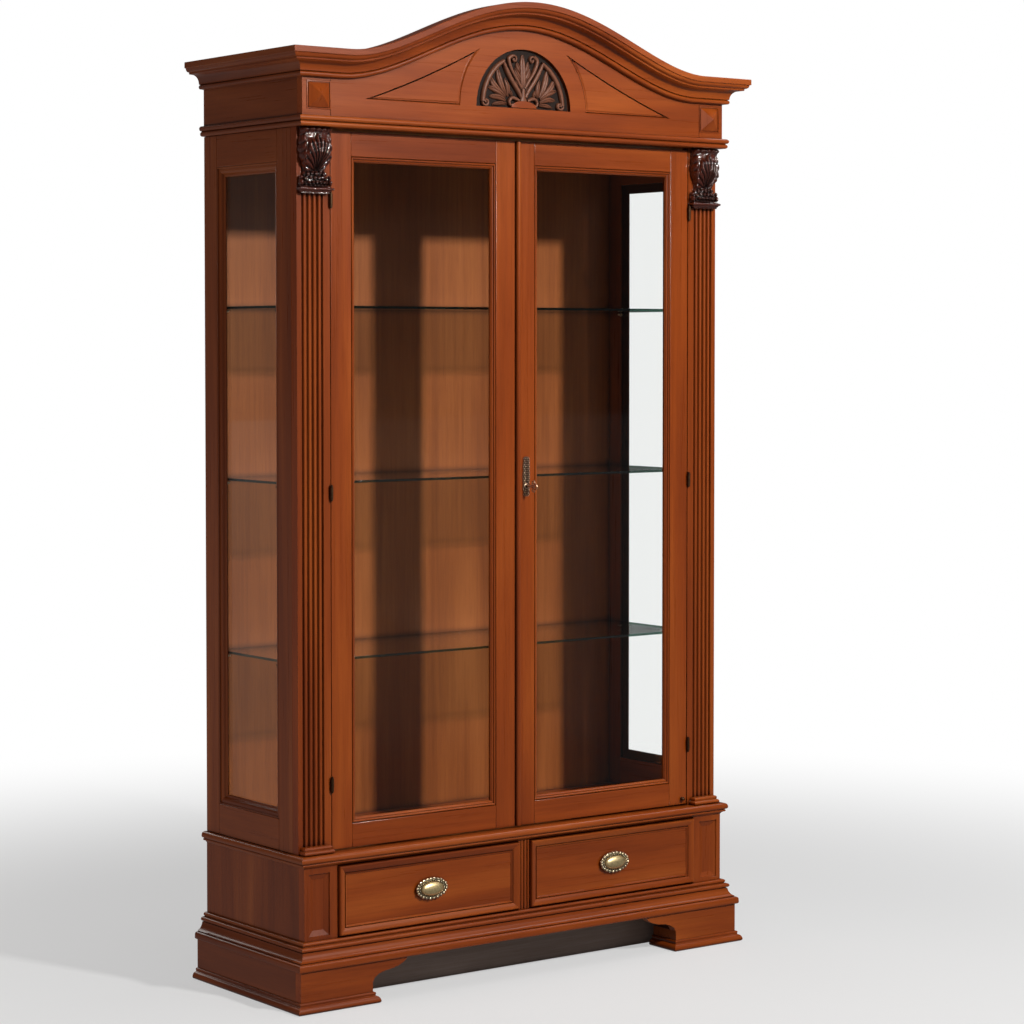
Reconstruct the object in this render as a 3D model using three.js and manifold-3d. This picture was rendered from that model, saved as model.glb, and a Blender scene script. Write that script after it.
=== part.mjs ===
// China cabinet with two glazed doors over two drawers.
// Millimetres, +Z up, the front faces -Y, the origin is the centre of the footprint on the floor.
import * as THREE from 'three';
import { mergeVertices } from 'three/addons/utils/BufferGeometryUtils.js';
import Module from 'manifold-3d';

const wasm = await Module();
wasm.setup();

// ---------------------------------------------------------------- driving sizes
const caseWidth = 1200;
const caseDepth = 415;
const boardThickness = 22;
const backThickness = 8;
const fit = 0.3; // clearance between two pieces that touch

const plinthHeight = 90;
const plinthOverhang = 26;
const footWidth = 188;
const footNeckHeight = 46;
const footScrollReach = 93;
const footReturn = 84;
const kickboardSetback = 109;
const floorMouldingHeight = 24;
const floorMouldingProjection = 13;

const baseMouldingHeight = 60;
const baseMouldingProjection = 33;
const drawerCaseHeight = 161;
const waistHeight = 26;
const waistProjection = 14;

const doorSetback = 24; // doors and pilasters stand behind the drawer case and the frieze
const pilasterWidth = 86;
const upperHeight = 1589;
const reedCount = 4;
const reedZone = 50;
const reedGroove = 3.5;
const reedOffset = 3; // the reeded band sits off the pilaster's centre line

const beadHeight = 24;
const beadProjection = 12.5;
const friezeHeight = 82;
const crownHeight = 60;
const crownOverhang = 50;
const crownRise = 137;
const crownHalfSpan = 505;
const friezeThickness = 20;

const lunetteRadius = 135;
const lunetteBase = 42; // height above the frieze's lower edge
const lunetteDepth = 9;
const spandrelTip = 434;
const spandrelInner = 181;
const spandrelMargin = 24; // from the hollow's upper edge to the crown
const spandrelDepth = 4;
const pyramidSize = 52;
const pyramidHeight = 9;
const pyramidCentre = 42; // from the frieze's end
const friezeJoint = 73; // fine groove between the frieze's end block and its arched board

const doorThickness = 22;
const doorGap = 1.8;
const meetingGap = 3;
const meetingOffset = -6.5;
const doorHeadGap = 6;
const doorFootGap = 3;
const doorBar = 54; // stile and rail width up to the glazing moulding
const glazingMoulding = 12;
const glassThickness = 4;
const astragalWidth = 12;
const astragalHeight = 6;

const sideFrontStile = 57;
const sideRearStile = 55;
const sideTopRail = 72;
const sideBottomRail = 70;
const sideBeadWidth = 22;
const sideBeadDepth = 13;

const shelfHeights = [755, 1150, 1540];
const shelfThickness = 6;
const shelfSetback = 45;
const shelfSideGap = 1.5;

const hingeHeights = [485, 1128, 1769];
const hingeRadius = 4;
const hingeLength = 30;
const hingeLeaf = 0.7;

const stileHalfWidth = 15;
const drawerGap = 2;
const drawerProud = 7;
const drawerFrame = 22;
const drawerRearGap = 32; // from a closed drawer box to the back of the case
const drawerWall = 10;
const drawerFloor = 6;
const drawerHeadroom = 14;

const pullWidth = 90;
const pullHeight = 51;
const pullProjection = 20;

const keyholeHeight = 1127;
const keyholeInset = 29;
const keyholeRadius = 3.6;
const escutcheonWidth = 15;
const escutcheonHeight = 92;
const escutcheonThickness = 1.6;
const keyLength = 44;
const keyRadius = 2.2;
const keyBowRadius = 12;
const lockWidth = 26;
const lockHeight = 46;
const lockDepth = 9;

// ---------------------------------------------------------------- derived places
const half = caseWidth / 2;
const front = (crownOverhang - caseDepth) / 2; // face of the drawer case and of the frieze
const rear = front + caseDepth;
const doorPlane = front + doorSetback;
const pilasterInner = half - pilasterWidth;
const baseTop = plinthHeight + baseMouldingHeight;
const waistBottom = baseTop + drawerCaseHeight;
const waistTop = waistBottom + waistHeight;
const upperTop = waistTop + upperHeight;
const friezeBottom = upperTop + beadHeight;
const crownTop = friezeBottom + friezeHeight + crownHeight;
const sideInner = half - boardThickness;
const backFace = rear - backThickness - 2;

// ---------------------------------------------------------------- finishes
const finish = (color, roughness, metalness = 0) =>
  new THREE.MeshStandardMaterial({ color, roughness, metalness, flatShading: true });
const wood = finish(0x8a4420, 0.32);
const sideWood = finish(0x5f3620, 0.34);
const darkWood = finish(0x3a2015, 0.45);
const innerWood = finish(0x6b4a30, 0.6);
const carvedWood = finish(0x2c1710, 0.2);
const glass = new THREE.MeshStandardMaterial({ color: 0xcfdcd6, roughness: 0.04, transparent: true, opacity: 0.3 });
const brass = finish(0x7a6234, 0.35, 1);

const cabinet = new THREE.Group();

// ---------------------------------------------------------------- geometry helpers
// Keeps only positions, joins shared vertices and turns the faces outwards.
function tidy(geometry) {
  const bare = new THREE.BufferGeometry();
  bare.setAttribute('position', geometry.getAttribute('position'));
  bare.setIndex(geometry.getIndex());
  const merged = mergeVertices(bare, 1e-4);
  const position = merged.getAttribute('position');
  const index = merged.getIndex().array;
  const a = new THREE.Vector3();
  const b = new THREE.Vector3();
  const c = new THREE.Vector3();
  let volume = 0;
  for (let i = 0; i < index.length; i += 3) {
    a.fromBufferAttribute(position, index[i]);
    b.fromBufferAttribute(position, index[i + 1]);
    c.fromBufferAttribute(position, index[i + 2]);
    volume += a.dot(b.cross(c));
  }
  if (volume < 0) {
    for (let i = 0; i < index.length; i += 3) {
      [index[i], index[i + 1]] = [index[i + 1], index[i]];
    }
  }
  return merged;
}

function solidOf(geometry) {
  const clean = tidy(geometry);
  const vertProperties = Float32Array.from(clean.getAttribute('position').array);
  const triVerts = Uint32Array.from(clean.getIndex().array);
  return new wasm.Manifold(new wasm.Mesh({ numProp: 3, vertProperties, triVerts }));
}

function geometryOf(solid) {
  const mesh = solid.getMesh();
  const geometry = new THREE.BufferGeometry();
  geometry.setAttribute('position', new THREE.BufferAttribute(Float32Array.from(mesh.vertProperties), 3));
  geometry.setIndex(Array.from(mesh.triVerts));
  return geometry;
}

function join(first, ...others) {
  return geometryOf(others.reduce((solid, other) => solid.add(solidOf(other)), solidOf(first)));
}

function cut(first, ...others) {
  return geometryOf(others.reduce((solid, other) => solid.subtract(solidOf(other)), solidOf(first)));
}

function place(name, geometry, material) {
  const mesh = new THREE.Mesh(tidy(geometry), material);
  mesh.name = name;
  cabinet.add(mesh);
}

// The same piece on the left (side -1) or on the right (side 1), from a shape drawn on the right.
function handed(geometry, side) {
  return side > 0 ? geometry : tidy(geometry.clone().scale(-1, 1, 1));
}

const sideName = (side) => (side < 0 ? 'left' : 'right');

function block(x0, x1, y0, y1, z0, z1) {
  const box = new THREE.BoxGeometry(x1 - x0, y1 - y0, z1 - z0);
  return box.translate((x0 + x1) / 2, (y0 + y1) / 2, (z0 + z1) / 2);
}

// Points of a gentle curve from start to end, bent towards a control point, without its first point.
function bend(start, control, end, steps = 4) {
  const points = [];
  for (let i = 1; i <= steps; i += 1) {
    const t = i / steps;
    const blend = (k) => (1 - t) ** 2 * start[k] + 2 * t * (1 - t) * control[k] + t * t * end[k];
    points.push([blend(0), blend(1)]);
  }
  return points;
}

// A solid through rings of equal point count. Open ends get flat caps, and a closed run has none.
function loft(rings, closed = false) {
  const count = rings[0].length;
  const flat = rings.flat();
  const index = [];
  const runs = closed ? rings.length : rings.length - 1;
  for (let r = 0; r < runs; r += 1) {
    const next = (r + 1) % rings.length;
    for (let i = 0; i < count; i += 1) {
      const j = (i + 1) % count;
      const [a, b] = [r * count + i, r * count + j];
      const [c, d] = [next * count + j, next * count + i];
      index.push(a, b, c, a, c, d);
    }
  }
  if (!closed) {
    const last = (rings.length - 1) * count;
    index.push(...capTriangles(rings[0]).flatMap(([a, b, c]) => [c, b, a]));
    index.push(...capTriangles(rings[rings.length - 1]).flat().map((i) => last + i));
  }
  const geometry = new THREE.BufferGeometry();
  geometry.setAttribute('position', new THREE.Float32BufferAttribute(flat.flat(), 3));
  geometry.setIndex(index);
  return geometry;
}

// Triangles over one flat ring, in the ring's own order.
function capTriangles(ring) {
  const normal = new THREE.Vector3();
  ring.forEach((p, i) => {
    const q = ring[(i + 1) % ring.length];
    normal.x += (p[1] - q[1]) * (p[2] + q[2]);
    normal.y += (p[2] - q[2]) * (p[0] + q[0]);
    normal.z += (p[0] - q[0]) * (p[1] + q[1]);
  });
  const sizes = normal.toArray().map(Math.abs);
  const drop = sizes.indexOf(Math.max(...sizes));
  const keep = [0, 1, 2].filter((k) => k !== drop);
  const outline = ring.map((p) => new THREE.Vector2(p[keep[0]], p[keep[1]]));
  const triangles = THREE.ShapeUtils.triangulateShape(outline, []);
  const anticlockwise = THREE.ShapeUtils.area(outline) > 0;
  return anticlockwise ? triangles : triangles.map(([a, b, c]) => [a, c, b]);
}

// A moulding: a profile of [outward, height] points swept along plan points with mitred corners.
// The path runs from the left rear round the front, so outward is on its right-hand side.
function moulding(profile, path) {
  const normals = path.slice(1).map((p, i) => {
    const run = new THREE.Vector2(p[0] - path[i][0], p[1] - path[i][1]).normalize();
    return new THREE.Vector2(run.y, -run.x);
  });
  const rings = path.map((p, i) => {
    const before = normals[Math.max(i - 1, 0)];
    const after = normals[Math.min(i, normals.length - 1)];
    const mitre = before.clone().add(after).divideScalar(1 + before.dot(after));
    return profile.map(([out, z]) => [p[0] + mitre.x * out, p[1] + mitre.y * out, z]);
  });
  return loft(rings);
}

const roundThreeSides = [[-half, rear], [-half, front], [half, front], [half, rear]];

// A rectangle as a ring in a plane parallel to the front, or to a side when across is true.
function rectangleRing([a0, a1, z0, z1], inset, depth, across = false) {
  const corners = [[a0 + inset, z0 + inset], [a1 - inset, z0 + inset], [a1 - inset, z1 - inset], [a0 + inset, z1 - inset]];
  return corners.map(([a, z]) => (across ? [depth, a, z] : [a, depth, z]));
}

// A picture frame round a rectangle: the profile is [inset, depth] points.
function frameRound([a0, a1, z0, z1], profile, across = false) {
  const corners = [[a0, z0, 1, 1], [a1, z0, -1, 1], [a1, z1, -1, -1], [a0, z1, 1, -1]];
  const rings = corners.map(([a, z, da, dz]) =>
    profile.map(([inset, depth]) => {
      const along = a + da * inset;
      const height = z + dz * inset;
      return across ? [depth, along, height] : [along, depth, height];
    }));
  return loft(rings, true);
}

// A panel with stepped or bevelled rectangular rings, from its rear face to its front field.
const steppedPanel = (steps) => loft(steps.map(([box, inset, depth]) => rectangleRing(box, inset, depth)));

// An outline of [x, z] points made into a board between two depths.
function boardFromOutline(outline, y0, y1) {
  return loft([y0, y1].map((y) => outline.map(([x, z]) => [x, y, z])));
}

// A profile of [y, z] points made into a bar between two x positions.
function barFromProfile(profile, x0, x1) {
  return loft([x0, x1].map((x) => profile.map(([y, z]) => [x, y, z])));
}

// ---------------------------------------------------------------- plinth
const plinthHalf = half + plinthOverhang;
const plinthFront = front - plinthOverhang;
const footInner = plinthHalf - footWidth;

// The bracket foot's face: straight neck, quarter hollow, then an ogee up to the base moulding.
function footOutline() {
  const lip = footInner - footScrollReach;
  return [
    [footInner, 0],
    [plinthHalf, 0],
    [plinthHalf, plinthHeight - fit],
    [lip, plinthHeight - fit],
    ...bend([lip, plinthHeight - fit], [lip + 8, plinthHeight - 14], [footInner - 55, plinthHeight - 20]),
    ...bend([footInner - 55, plinthHeight - 20], [footInner - 4, plinthHeight - 24], [footInner, footNeckHeight]),
  ];
}

for (const side of [-1, 1]) {
  const face = boardFromOutline(footOutline(), plinthFront, plinthFront + boardThickness);
  const returnBoard = block(
    footInner, footInner + boardThickness,
    plinthFront + boardThickness - 1, plinthFront + footReturn,
    0, footNeckHeight,
  );
  place(`plinth_foot_${sideName(side)}`, handed(join(face, returnBoard), side), wood);
  const sideBoard = block(
    plinthHalf - boardThickness, plinthHalf,
    plinthFront + boardThickness + fit, rear,
    0, plinthHeight - fit,
  );
  place(`plinth_side_${sideName(side)}`, handed(sideBoard, side), sideWood);
  const shoe = [
    [fit, 0],
    [floorMouldingProjection - 3, 0],
    ...bend([floorMouldingProjection - 3, 0], [floorMouldingProjection + 2, 9], [floorMouldingProjection - 5, 16]),
    [4, 18],
    ...bend([4, 18], [6, 22], [3, floorMouldingHeight], 3),
    [fit, floorMouldingHeight],
  ];
  const shoePath = [
    [footInner, plinthFront + footReturn],
    [footInner, plinthFront],
    [plinthHalf, plinthFront],
    [plinthHalf, rear],
  ];
  place(`floor_moulding_${sideName(side)}`, handed(moulding(shoe, shoePath), side), side < 0 ? sideWood : wood);
}

const plinthInner = plinthHalf - boardThickness - fit;
place('plinth_kickboard', block(
  -plinthInner, plinthInner,
  plinthFront + kickboardSetback, plinthFront + kickboardSetback + boardThickness,
  0, plinthHeight - fit,
), darkWood);

// The back board of the plinth rises between the ends of the base moulding.
const baseRail = 40; // how far the base moulding reaches in under the case
const tongueHalf = half - baseRail - fit;
place('plinth_back', join(
  block(-plinthInner, plinthInner, rear - boardThickness, rear, 0, plinthHeight - fit),
  block(-tongueHalf, tongueHalf, rear - boardThickness, rear, plinthHeight - 1, baseTop),
), darkWood);

// ---------------------------------------------------------------- base moulding and drawer case
const baseReach = baseMouldingProjection;
const baseProfile = [
  [-baseRail, plinthHeight],
  [plinthOverhang, plinthHeight],
  [baseReach, plinthHeight + 4],
  [baseReach, plinthHeight + 12],
  ...bend([baseReach, plinthHeight + 12], [baseReach - 2, plinthHeight + 17], [baseReach - 6, plinthHeight + 18], 2),
  ...bend([baseReach - 6, plinthHeight + 18], [14, plinthHeight + 20], [13, baseTop - 20]),
  ...bend([13, baseTop - 20], [21, baseTop - 15], [12, baseTop - 9]),
  [8, baseTop - 8],
  ...bend([8, baseTop - 8], [12, baseTop - 3], [2, baseTop]),
  [-baseRail, baseTop],
];
place('base_moulding', moulding(baseProfile, roundThreeSides), wood);

const caseFloor = baseTop + fit;
const caseCeiling = waistBottom - fit;
const postDepth = boardThickness;
const sunkMargin = { left: 20, right: 12, foot: 8, head: 14 };

for (const side of [-1, 1]) {
  place(`lower_side_${sideName(side)}`, handed(
    block(sideInner, half, front + postDepth + fit, rear, caseFloor, caseCeiling), side,
  ), sideWood);
  const post = [pilasterInner + fit, half, caseFloor, caseCeiling];
  const sunk = [
    post[0] + sunkMargin.left, post[1] - sunkMargin.right,
    post[2] + sunkMargin.foot, post[3] - sunkMargin.head,
  ];
  const cornerPost = steppedPanel([
    [post, 0, front + postDepth],
    [post, 0, front],
    [sunk, 0, front],
    [sunk, 1, front + 3],
    [sunk, 13, front + 8],
  ]);
  place(`corner_post_${sideName(side)}`, handed(cornerPost, side), wood);
}

const bottomFront = front + boardThickness;
place('lower_bottom', block(
  -sideInner + fit, sideInner - fit,
  bottomFront + fit, backFace - fit,
  caseFloor, caseFloor + 16,
), innerWood);
place('lower_back', block(
  -sideInner + fit, sideInner - fit,
  backFace, backFace + backThickness,
  caseFloor, caseCeiling,
), darkWood);

// The divider between the drawers shows a narrow stile with two reeds at the front.
const stileReed = 9;
const stileFace = [];
for (const centre of [-stileReed / 2 - 0.5, stileReed / 2 + 0.5]) {
  for (let step = 0; step <= 5; step += 1) {
    const angle = Math.PI * (1 - step / 5);
    stileFace.push([centre + (stileReed / 2) * Math.cos(angle), front + 4 - 4.5 * Math.sin(angle)]);
  }
}
const stilePlan = [
  [-stileHalfWidth, front + boardThickness],
  [-stileHalfWidth, front],
  [-stileReed - 1.5, front],
  ...stileFace,
  [stileReed + 1.5, front],
  [stileHalfWidth, front],
  [stileHalfWidth, front + boardThickness],
];
const stile = loft([caseFloor, caseCeiling].map((z) => stilePlan.map(([x, y]) => [x, y, z])));
const dividerWeb = block(
  -stileHalfWidth + 5, stileHalfWidth - 5,
  front + boardThickness - 1, backFace - fit,
  caseFloor + 16 + fit, caseCeiling,
);
place('drawer_divider', join(stile, dividerWeb), wood);

const waistProfile = [
  [-6, waistBottom],
  [1, waistBottom],
  ...bend([1, waistBottom], [9, waistBottom + 1], [waistProjection - 5, waistBottom + 7]),
  [waistProjection - 5, waistBottom + 11],
  ...bend([waistProjection - 4, waistBottom + 12], [waistProjection + 4, waistTop - 7], [waistProjection - 6, waistTop], 5),
  [-6, waistTop],
];
const waistSlab = block(-half + 1, half - 1, front + 1, rear, waistBottom, waistTop);
place('waist_board', join(waistSlab, moulding(waistProfile, roundThreeSides)), wood);

// ---------------------------------------------------------------- drawers
for (const side of [-1, 1]) {
  const name = sideName(side);
  const face = [
    stileHalfWidth + drawerGap, pilasterInner - drawerGap,
    baseTop + drawerGap + 1, waistBottom - drawerGap - 1,
  ];
  const drawerFront = steppedPanel([
    [face, 0, front + boardThickness - 4],
    [face, 0, front - drawerProud + 2],
    [face, 2, front - drawerProud],
    [face, drawerFrame - 6, front - 2.5],
    [face, drawerFrame - 5.5, front - 1],
    [face, drawerFrame - 2, front - 2],
    [face, drawerFrame, front + 1],
  ]);
  place(`drawer_front_${name}`, handed(drawerFront, side), wood);

  const boxFront = front + boardThickness - 4 + fit;
  const box = [
    face[0] + 4, face[1] - 4, boxFront, backFace - drawerRearGap,
    caseFloor + 16 + 1, caseCeiling - drawerHeadroom,
  ];
  const hollow = block(
    box[0] + drawerWall, box[1] - drawerWall, box[2] + drawerWall, box[3] - drawerWall,
    box[4] + drawerFloor, box[5] + 10,
  );
  place(`drawer_box_${name}`, handed(cut(block(...box), hollow), side), innerWood);

  // The pull is a domed oval plate on a short neck.
  const radius = pullHeight / 2;
  const pullProfile = [
    [0, 0],
    [radius * 0.3, 0],
    [radius * 0.3, 3],
    [radius * 0.92, 5],
    [radius, 7.5],
    [radius * 0.9, 10],
    [radius * 0.55, 11],
    [radius * 0.5, pullProjection - 5],
    [radius * 0.3, pullProjection - 1],
    [0, pullProjection],
  ].map(([r, out]) => new THREE.Vector2(r, out));
  const pull = new THREE.LatheGeometry(pullProfile, 24);
  pull.scale(pullWidth / pullHeight, 1, 1).rotateX(Math.PI);
  pull.translate((face[0] + face[1]) / 2, front + 1 - fit, (face[2] + face[3]) / 2);
  place(`drawer_knob_${name}`, handed(pull, side), brass);
}

// ---------------------------------------------------------------- upper case: sides, back, top
const upperFloor = waistTop + fit;
const upperCeiling = upperTop - fit;
const pilasterRear = doorPlane + boardThickness;

for (const side of [-1, 1]) {
  const name = sideName(side);
  const panel = [pilasterRear + fit, rear, upperFloor, upperCeiling];
  const window = [
    panel[0] + sideFrontStile, panel[1] - sideRearStile,
    panel[2] + sideBottomRail, panel[3] - sideTopRail,
  ];
  const board = block(sideInner, half, panel[0], panel[1], panel[2], panel[3]);
  const hole = block(sideInner - 5, half + 5, window[0], window[1], window[2], window[3]);
  place(`side_frame_${name}`, handed(cut(board, hole), side), sideWood);

  const opening = [window[0] + fit, window[1] - fit, window[2] + fit, window[3] - fit];
  const bead = frameRound(opening, [
    [0, half - sideBeadDepth],
    [0, half - 1],
    [3, half - 0.5],
    [5, half - 3],
    [8, half - 3],
    [sideBeadWidth, half - sideBeadDepth + 2],
    [sideBeadWidth, half - sideBeadDepth],
  ], true);
  place(`side_bead_${name}`, handed(bead, side), sideWood);
  const paneFace = half - sideBeadDepth - fit;
  place(`side_glass_${name}`, handed(
    block(paneFace - glassThickness, paneFace, opening[0], opening[1], opening[2], opening[3]), side,
  ), glass);
}

place('upper_back', block(
  -sideInner + fit, sideInner - fit,
  backFace, backFace + backThickness,
  upperFloor, upperCeiling,
), darkWood);
const beadDepth = 50;
place('top_board', block(
  -half + beadDepth + fit, half - beadDepth - fit,
  front + beadDepth + fit, backFace + backThickness,
  upperTop, upperTop + 18,
), innerWood);

shelfHeights.forEach((height, i) => {
  const reach = sideInner - shelfSideGap;
  place(`glass_shelf_${i + 1}`, block(
    -reach, reach,
    pilasterRear + shelfSetback, backFace - shelfSideGap,
    height - shelfThickness, height,
  ), glass);
});

// ---------------------------------------------------------------- pilasters, bases and corbels
const reedPitch = reedZone / reedCount;
const reedStart = (pilasterInner + half) / 2 + reedOffset - reedZone / 2;
const pilasterPlan = [[pilasterInner, pilasterRear], [pilasterInner, doorPlane]];
for (let reed = 0; reed < reedCount; reed += 1) {
  const x0 = reedStart + reed * reedPitch;
  const flank = (reedPitch - reedGroove) / 2;
  const centre = x0 + reedPitch / 2;
  if (reed === 0) pilasterPlan.push([x0 - reedGroove / 2, doorPlane]);
  pilasterPlan.push([x0, doorPlane + reedGroove]);
  for (let step = 0; step <= 4; step += 1) {
    const angle = Math.PI * (1 - step / 4);
    const x = centre + flank * Math.cos(angle);
    pilasterPlan.push([x, doorPlane + 2.2 * (1 - Math.sin(angle))]);
  }
}
pilasterPlan.push([reedStart + reedZone, doorPlane + reedGroove]);
pilasterPlan.push([reedStart + reedZone + reedGroove / 2, doorPlane]);
pilasterPlan.push([half, doorPlane], [half, pilasterRear]);

const baseBlockHeight = 17;
const corbelFoot = upperTop - 138;
const corbelInset = 3;
const baseBlockInset = { inner: 8, outer: 4 };

for (const side of [-1, 1]) {
  const name = sideName(side);
  const shaft = loft([upperFloor, upperCeiling].map((z) => pilasterPlan.map(([x, y]) => [x, y, z])));
  place(`pilaster_${name}`, handed(shaft, side), wood);

  const blockFace = doorPlane - fit;
  const baseBlock = [
    [blockFace, upperFloor],
    [front + 2, upperFloor],
    ...bend([front + 2, upperFloor], [front - 4, upperFloor + 5], [front + 3, upperFloor + 9]),
    [front + 6, upperFloor + 10],
    [front + 6, upperFloor + baseBlockHeight - 2],
    [front + 8, upperFloor + baseBlockHeight],
    [blockFace, upperFloor + baseBlockHeight],
  ];
  place(`pilaster_base_${name}`, handed(barFromProfile(
    baseBlock, pilasterInner + baseBlockInset.inner, half - baseBlockInset.outer,
  ), side), wood);

  // The corbel swells under the frieze, narrows to a small scroll and stands on its own abacus.
  const corbel = [
    [blockFace, corbelFoot],
    [front + 10, corbelFoot],
    [front + 8, corbelFoot + 4],
    [front + 13, corbelFoot + 8],
    ...bend([front + 13, corbelFoot + 8], [front + 2, corbelFoot + 16], [front + 12, corbelFoot + 26]),
    ...bend([front + 12, corbelFoot + 26], [front + 12, corbelFoot + 42], [front + 5, corbelFoot + 62]),
    ...bend([front + 5, corbelFoot + 62], [front - 7, corbelFoot + 92], [front + 3, corbelFoot + 118]),
    [front + 5, upperCeiling],
    [blockFace, upperCeiling],
  ];
  place(`corbel_${name}`, handed(barFromProfile(
    corbel, pilasterInner + corbelInset, half - corbelInset / 2,
  ), side), carvedWood);
}

// ---------------------------------------------------------------- frieze
const beadMid = upperTop + beadHeight / 2;
const beadProfile = [
  [-beadDepth, upperTop],
  [1, upperTop],
  ...bend([1, upperTop], [beadProjection + 1, upperTop + 1], [beadProjection - 1, beadMid - 4]),
  [beadProjection - 5, beadMid - 1],
  ...bend([beadProjection - 5, beadMid - 1], [beadProjection + 7, beadMid + 5], [4, friezeBottom - 2]),
  [1, friezeBottom],
  [-beadDepth, friezeBottom],
];
place('frieze_bead', moulding(beadProfile, roundThreeSides), wood);

// Height of the crown's upper edge: flat ends and a bell-shaped rise in the middle.
function crownLine(x) {
  const t = Math.min(Math.abs(x) / crownHalfSpan, 1);
  return crownTop + crownRise * (1 - t * t) ** 2;
}

const slopeAt = (x) => Math.atan((crownLine(x + 0.5) - crownLine(x - 0.5)));

function spaced(from, to, count) {
  return Array.from({ length: count + 1 }, (_, i) => from + ((to - from) * i) / count);
}

const friezeFloor = friezeBottom + fit;
const crownCover = 4;
const friezeOutline = [
  [-half, friezeFloor],
  [half, friezeFloor],
  [half, crownTop - crownCover],
  ...spaced(crownHalfSpan, -crownHalfSpan, 36).map((x) => [x, crownLine(x) - crownCover]),
  [-half, crownTop - crownCover],
];
const friezeBoard = boardFromOutline(friezeOutline, front, front + friezeThickness);
const lunetteZ = friezeBottom + lunetteBase;
const lunetteOutline = spaced(0, Math.PI, 24).map((a) => [
  lunetteRadius * Math.cos(a), lunetteZ + lunetteRadius * Math.sin(a),
]);
const lunetteHollow = boardFromOutline(lunetteOutline, front - 5, front + lunetteDepth);

// Sunk three-cornered field: level foot, an arc round the lunette and a long side under the crown.
function spandrelOutline(grow) {
  const inner = spandrelInner - grow;
  const under = (x) => crownLine(x) - crownHeight - spandrelMargin + grow;
  const arcTop = Math.asin(Math.min((under(inner * 0.82) - lunetteZ) / inner, 0.99));
  const arc = spaced(0, arcTop, 5).map((a) => [inner * Math.cos(a), lunetteZ - grow + inner * Math.sin(a)]);
  const [topX, topZ] = arc[arc.length - 1];
  const tip = [spandrelTip + 2.5 * grow, lunetteZ - grow];
  const edge = bend([topX, topZ], [(topX + tip[0]) / 2, (topZ + tip[1]) / 2 - 14], tip, 6);
  return [...arc, ...edge];
}

const spandrelHollow = (side) => handed(loft([
  spandrelOutline(1.5).map(([x, z]) => [x, front - 0.5, z]),
  spandrelOutline(-1.5).map(([x, z]) => [x, front + spandrelDepth, z]),
]), side);
const jointGroove = (side) => block(
  side * (half - friezeJoint) - 0.6, side * (half - friezeJoint) + 0.6,
  front - 5, front + 1.2,
  friezeFloor - 5, crownTop + crownRise,
);
const pyramidAt = (side) => {
  const x = side * (half - pyramidCentre);
  const z = friezeBottom + lunetteBase;
  const reach = pyramidSize / 2;
  const box = [x - reach, x + reach, z - reach, z + reach];
  return steppedPanel([[box, 0, front + 5], [box, 0, front], [box, reach - 0.4, front - pyramidHeight]]);
};
const friezeHollowed = cut(
  friezeBoard, lunetteHollow,
  spandrelHollow(-1), spandrelHollow(1),
  jointGroove(-1), jointGroove(1),
);
place('frieze_front', join(friezeHollowed, pyramidAt(-1), pyramidAt(1)), wood);

for (const side of [-1, 1]) {
  place(`frieze_side_${sideName(side)}`, handed(block(
    sideInner, half,
    front + friezeThickness + fit, rear,
    friezeFloor, crownTop - crownCover,
  ), side), sideWood);
}

// The carving in the lunette: a rim, five leaves fanned from a half-round boss, and a base line.
const carvingFront = front + 1;
const carvingRear = front + lunetteDepth - fit;
const rimOuter = lunetteRadius - 4;
const rimInner = lunetteRadius - 16;
const rimOutline = [
  ...spaced(0.05, Math.PI - 0.05, 20).map((a) => [rimOuter * Math.cos(a), lunetteZ + 2 + rimOuter * Math.sin(a)]),
  ...spaced(Math.PI - 0.05, 0.05, 20).map((a) => [rimInner * Math.cos(a), lunetteZ + 2 + rimInner * Math.sin(a)]),
];
const carvingPieces = [];
for (const lean of [-62, -34, 0, 34, 62]) {
  const leaf = spaced(0, 2 * Math.PI, 14).slice(0, -1).map((a) => [15 * Math.cos(a), 62 + 62 * Math.sin(a)]);
  const turn = THREE.MathUtils.degToRad(lean);
  const outline = leaf.map(([x, z]) => [
    x * Math.cos(turn) + z * Math.sin(turn),
    lunetteZ + 4 + z * Math.cos(turn) - x * Math.sin(turn),
  ]);
  carvingPieces.push(boardFromOutline(outline, carvingFront + 1, carvingRear));
}
const bossOutline = spaced(0, Math.PI, 10).map((a) => [34 * Math.cos(a), lunetteZ + 1 + 18 * Math.sin(a)]);
carvingPieces.push(boardFromOutline(bossOutline, carvingFront, carvingRear));
place('frieze_carving', join(boardFromOutline(rimOutline, carvingFront, carvingRear), ...carvingPieces), carvedWood);

// ---------------------------------------------------------------- crown
// Profile as [outward, depth below the upper edge].
const crownProfile = [
  [fit, 0],
  [crownOverhang, 0],
  [crownOverhang, 13.5],
  [crownOverhang - 3.5, 14.5],
  ...bend([crownOverhang - 3.5, 14.5], [crownOverhang - 4, 22], [crownOverhang - 12, 23], 3),
  [crownOverhang - 13, 27],
  [crownOverhang - 24, 28],
  ...bend([crownOverhang - 24, 28], [14, crownHeight - 27], [12, crownHeight - 10.5], 4),
  [9, crownHeight - 10],
  ...bend([9, crownHeight - 10], [15, crownHeight - 3], [3, crownHeight], 3),
  [fit, crownHeight],
];

function crownRing(x, y, mitre) {
  const slope = slopeAt(x);
  return crownProfile.map(([out, depth]) => [
    x + mitre * out + Math.sin(slope) * depth,
    y === null ? front - out : y,
    crownLine(x) - Math.cos(slope) * depth,
  ]);
}

place('crown_moulding', loft([
  crownRing(-half, rear, -1),
  crownRing(-half, null, -1),
  ...spaced(-crownHalfSpan, crownHalfSpan, 40).map((x) => crownRing(x, null, 0)),
  crownRing(half, null, 1),
  crownRing(half, rear, 1),
]), wood);

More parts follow.
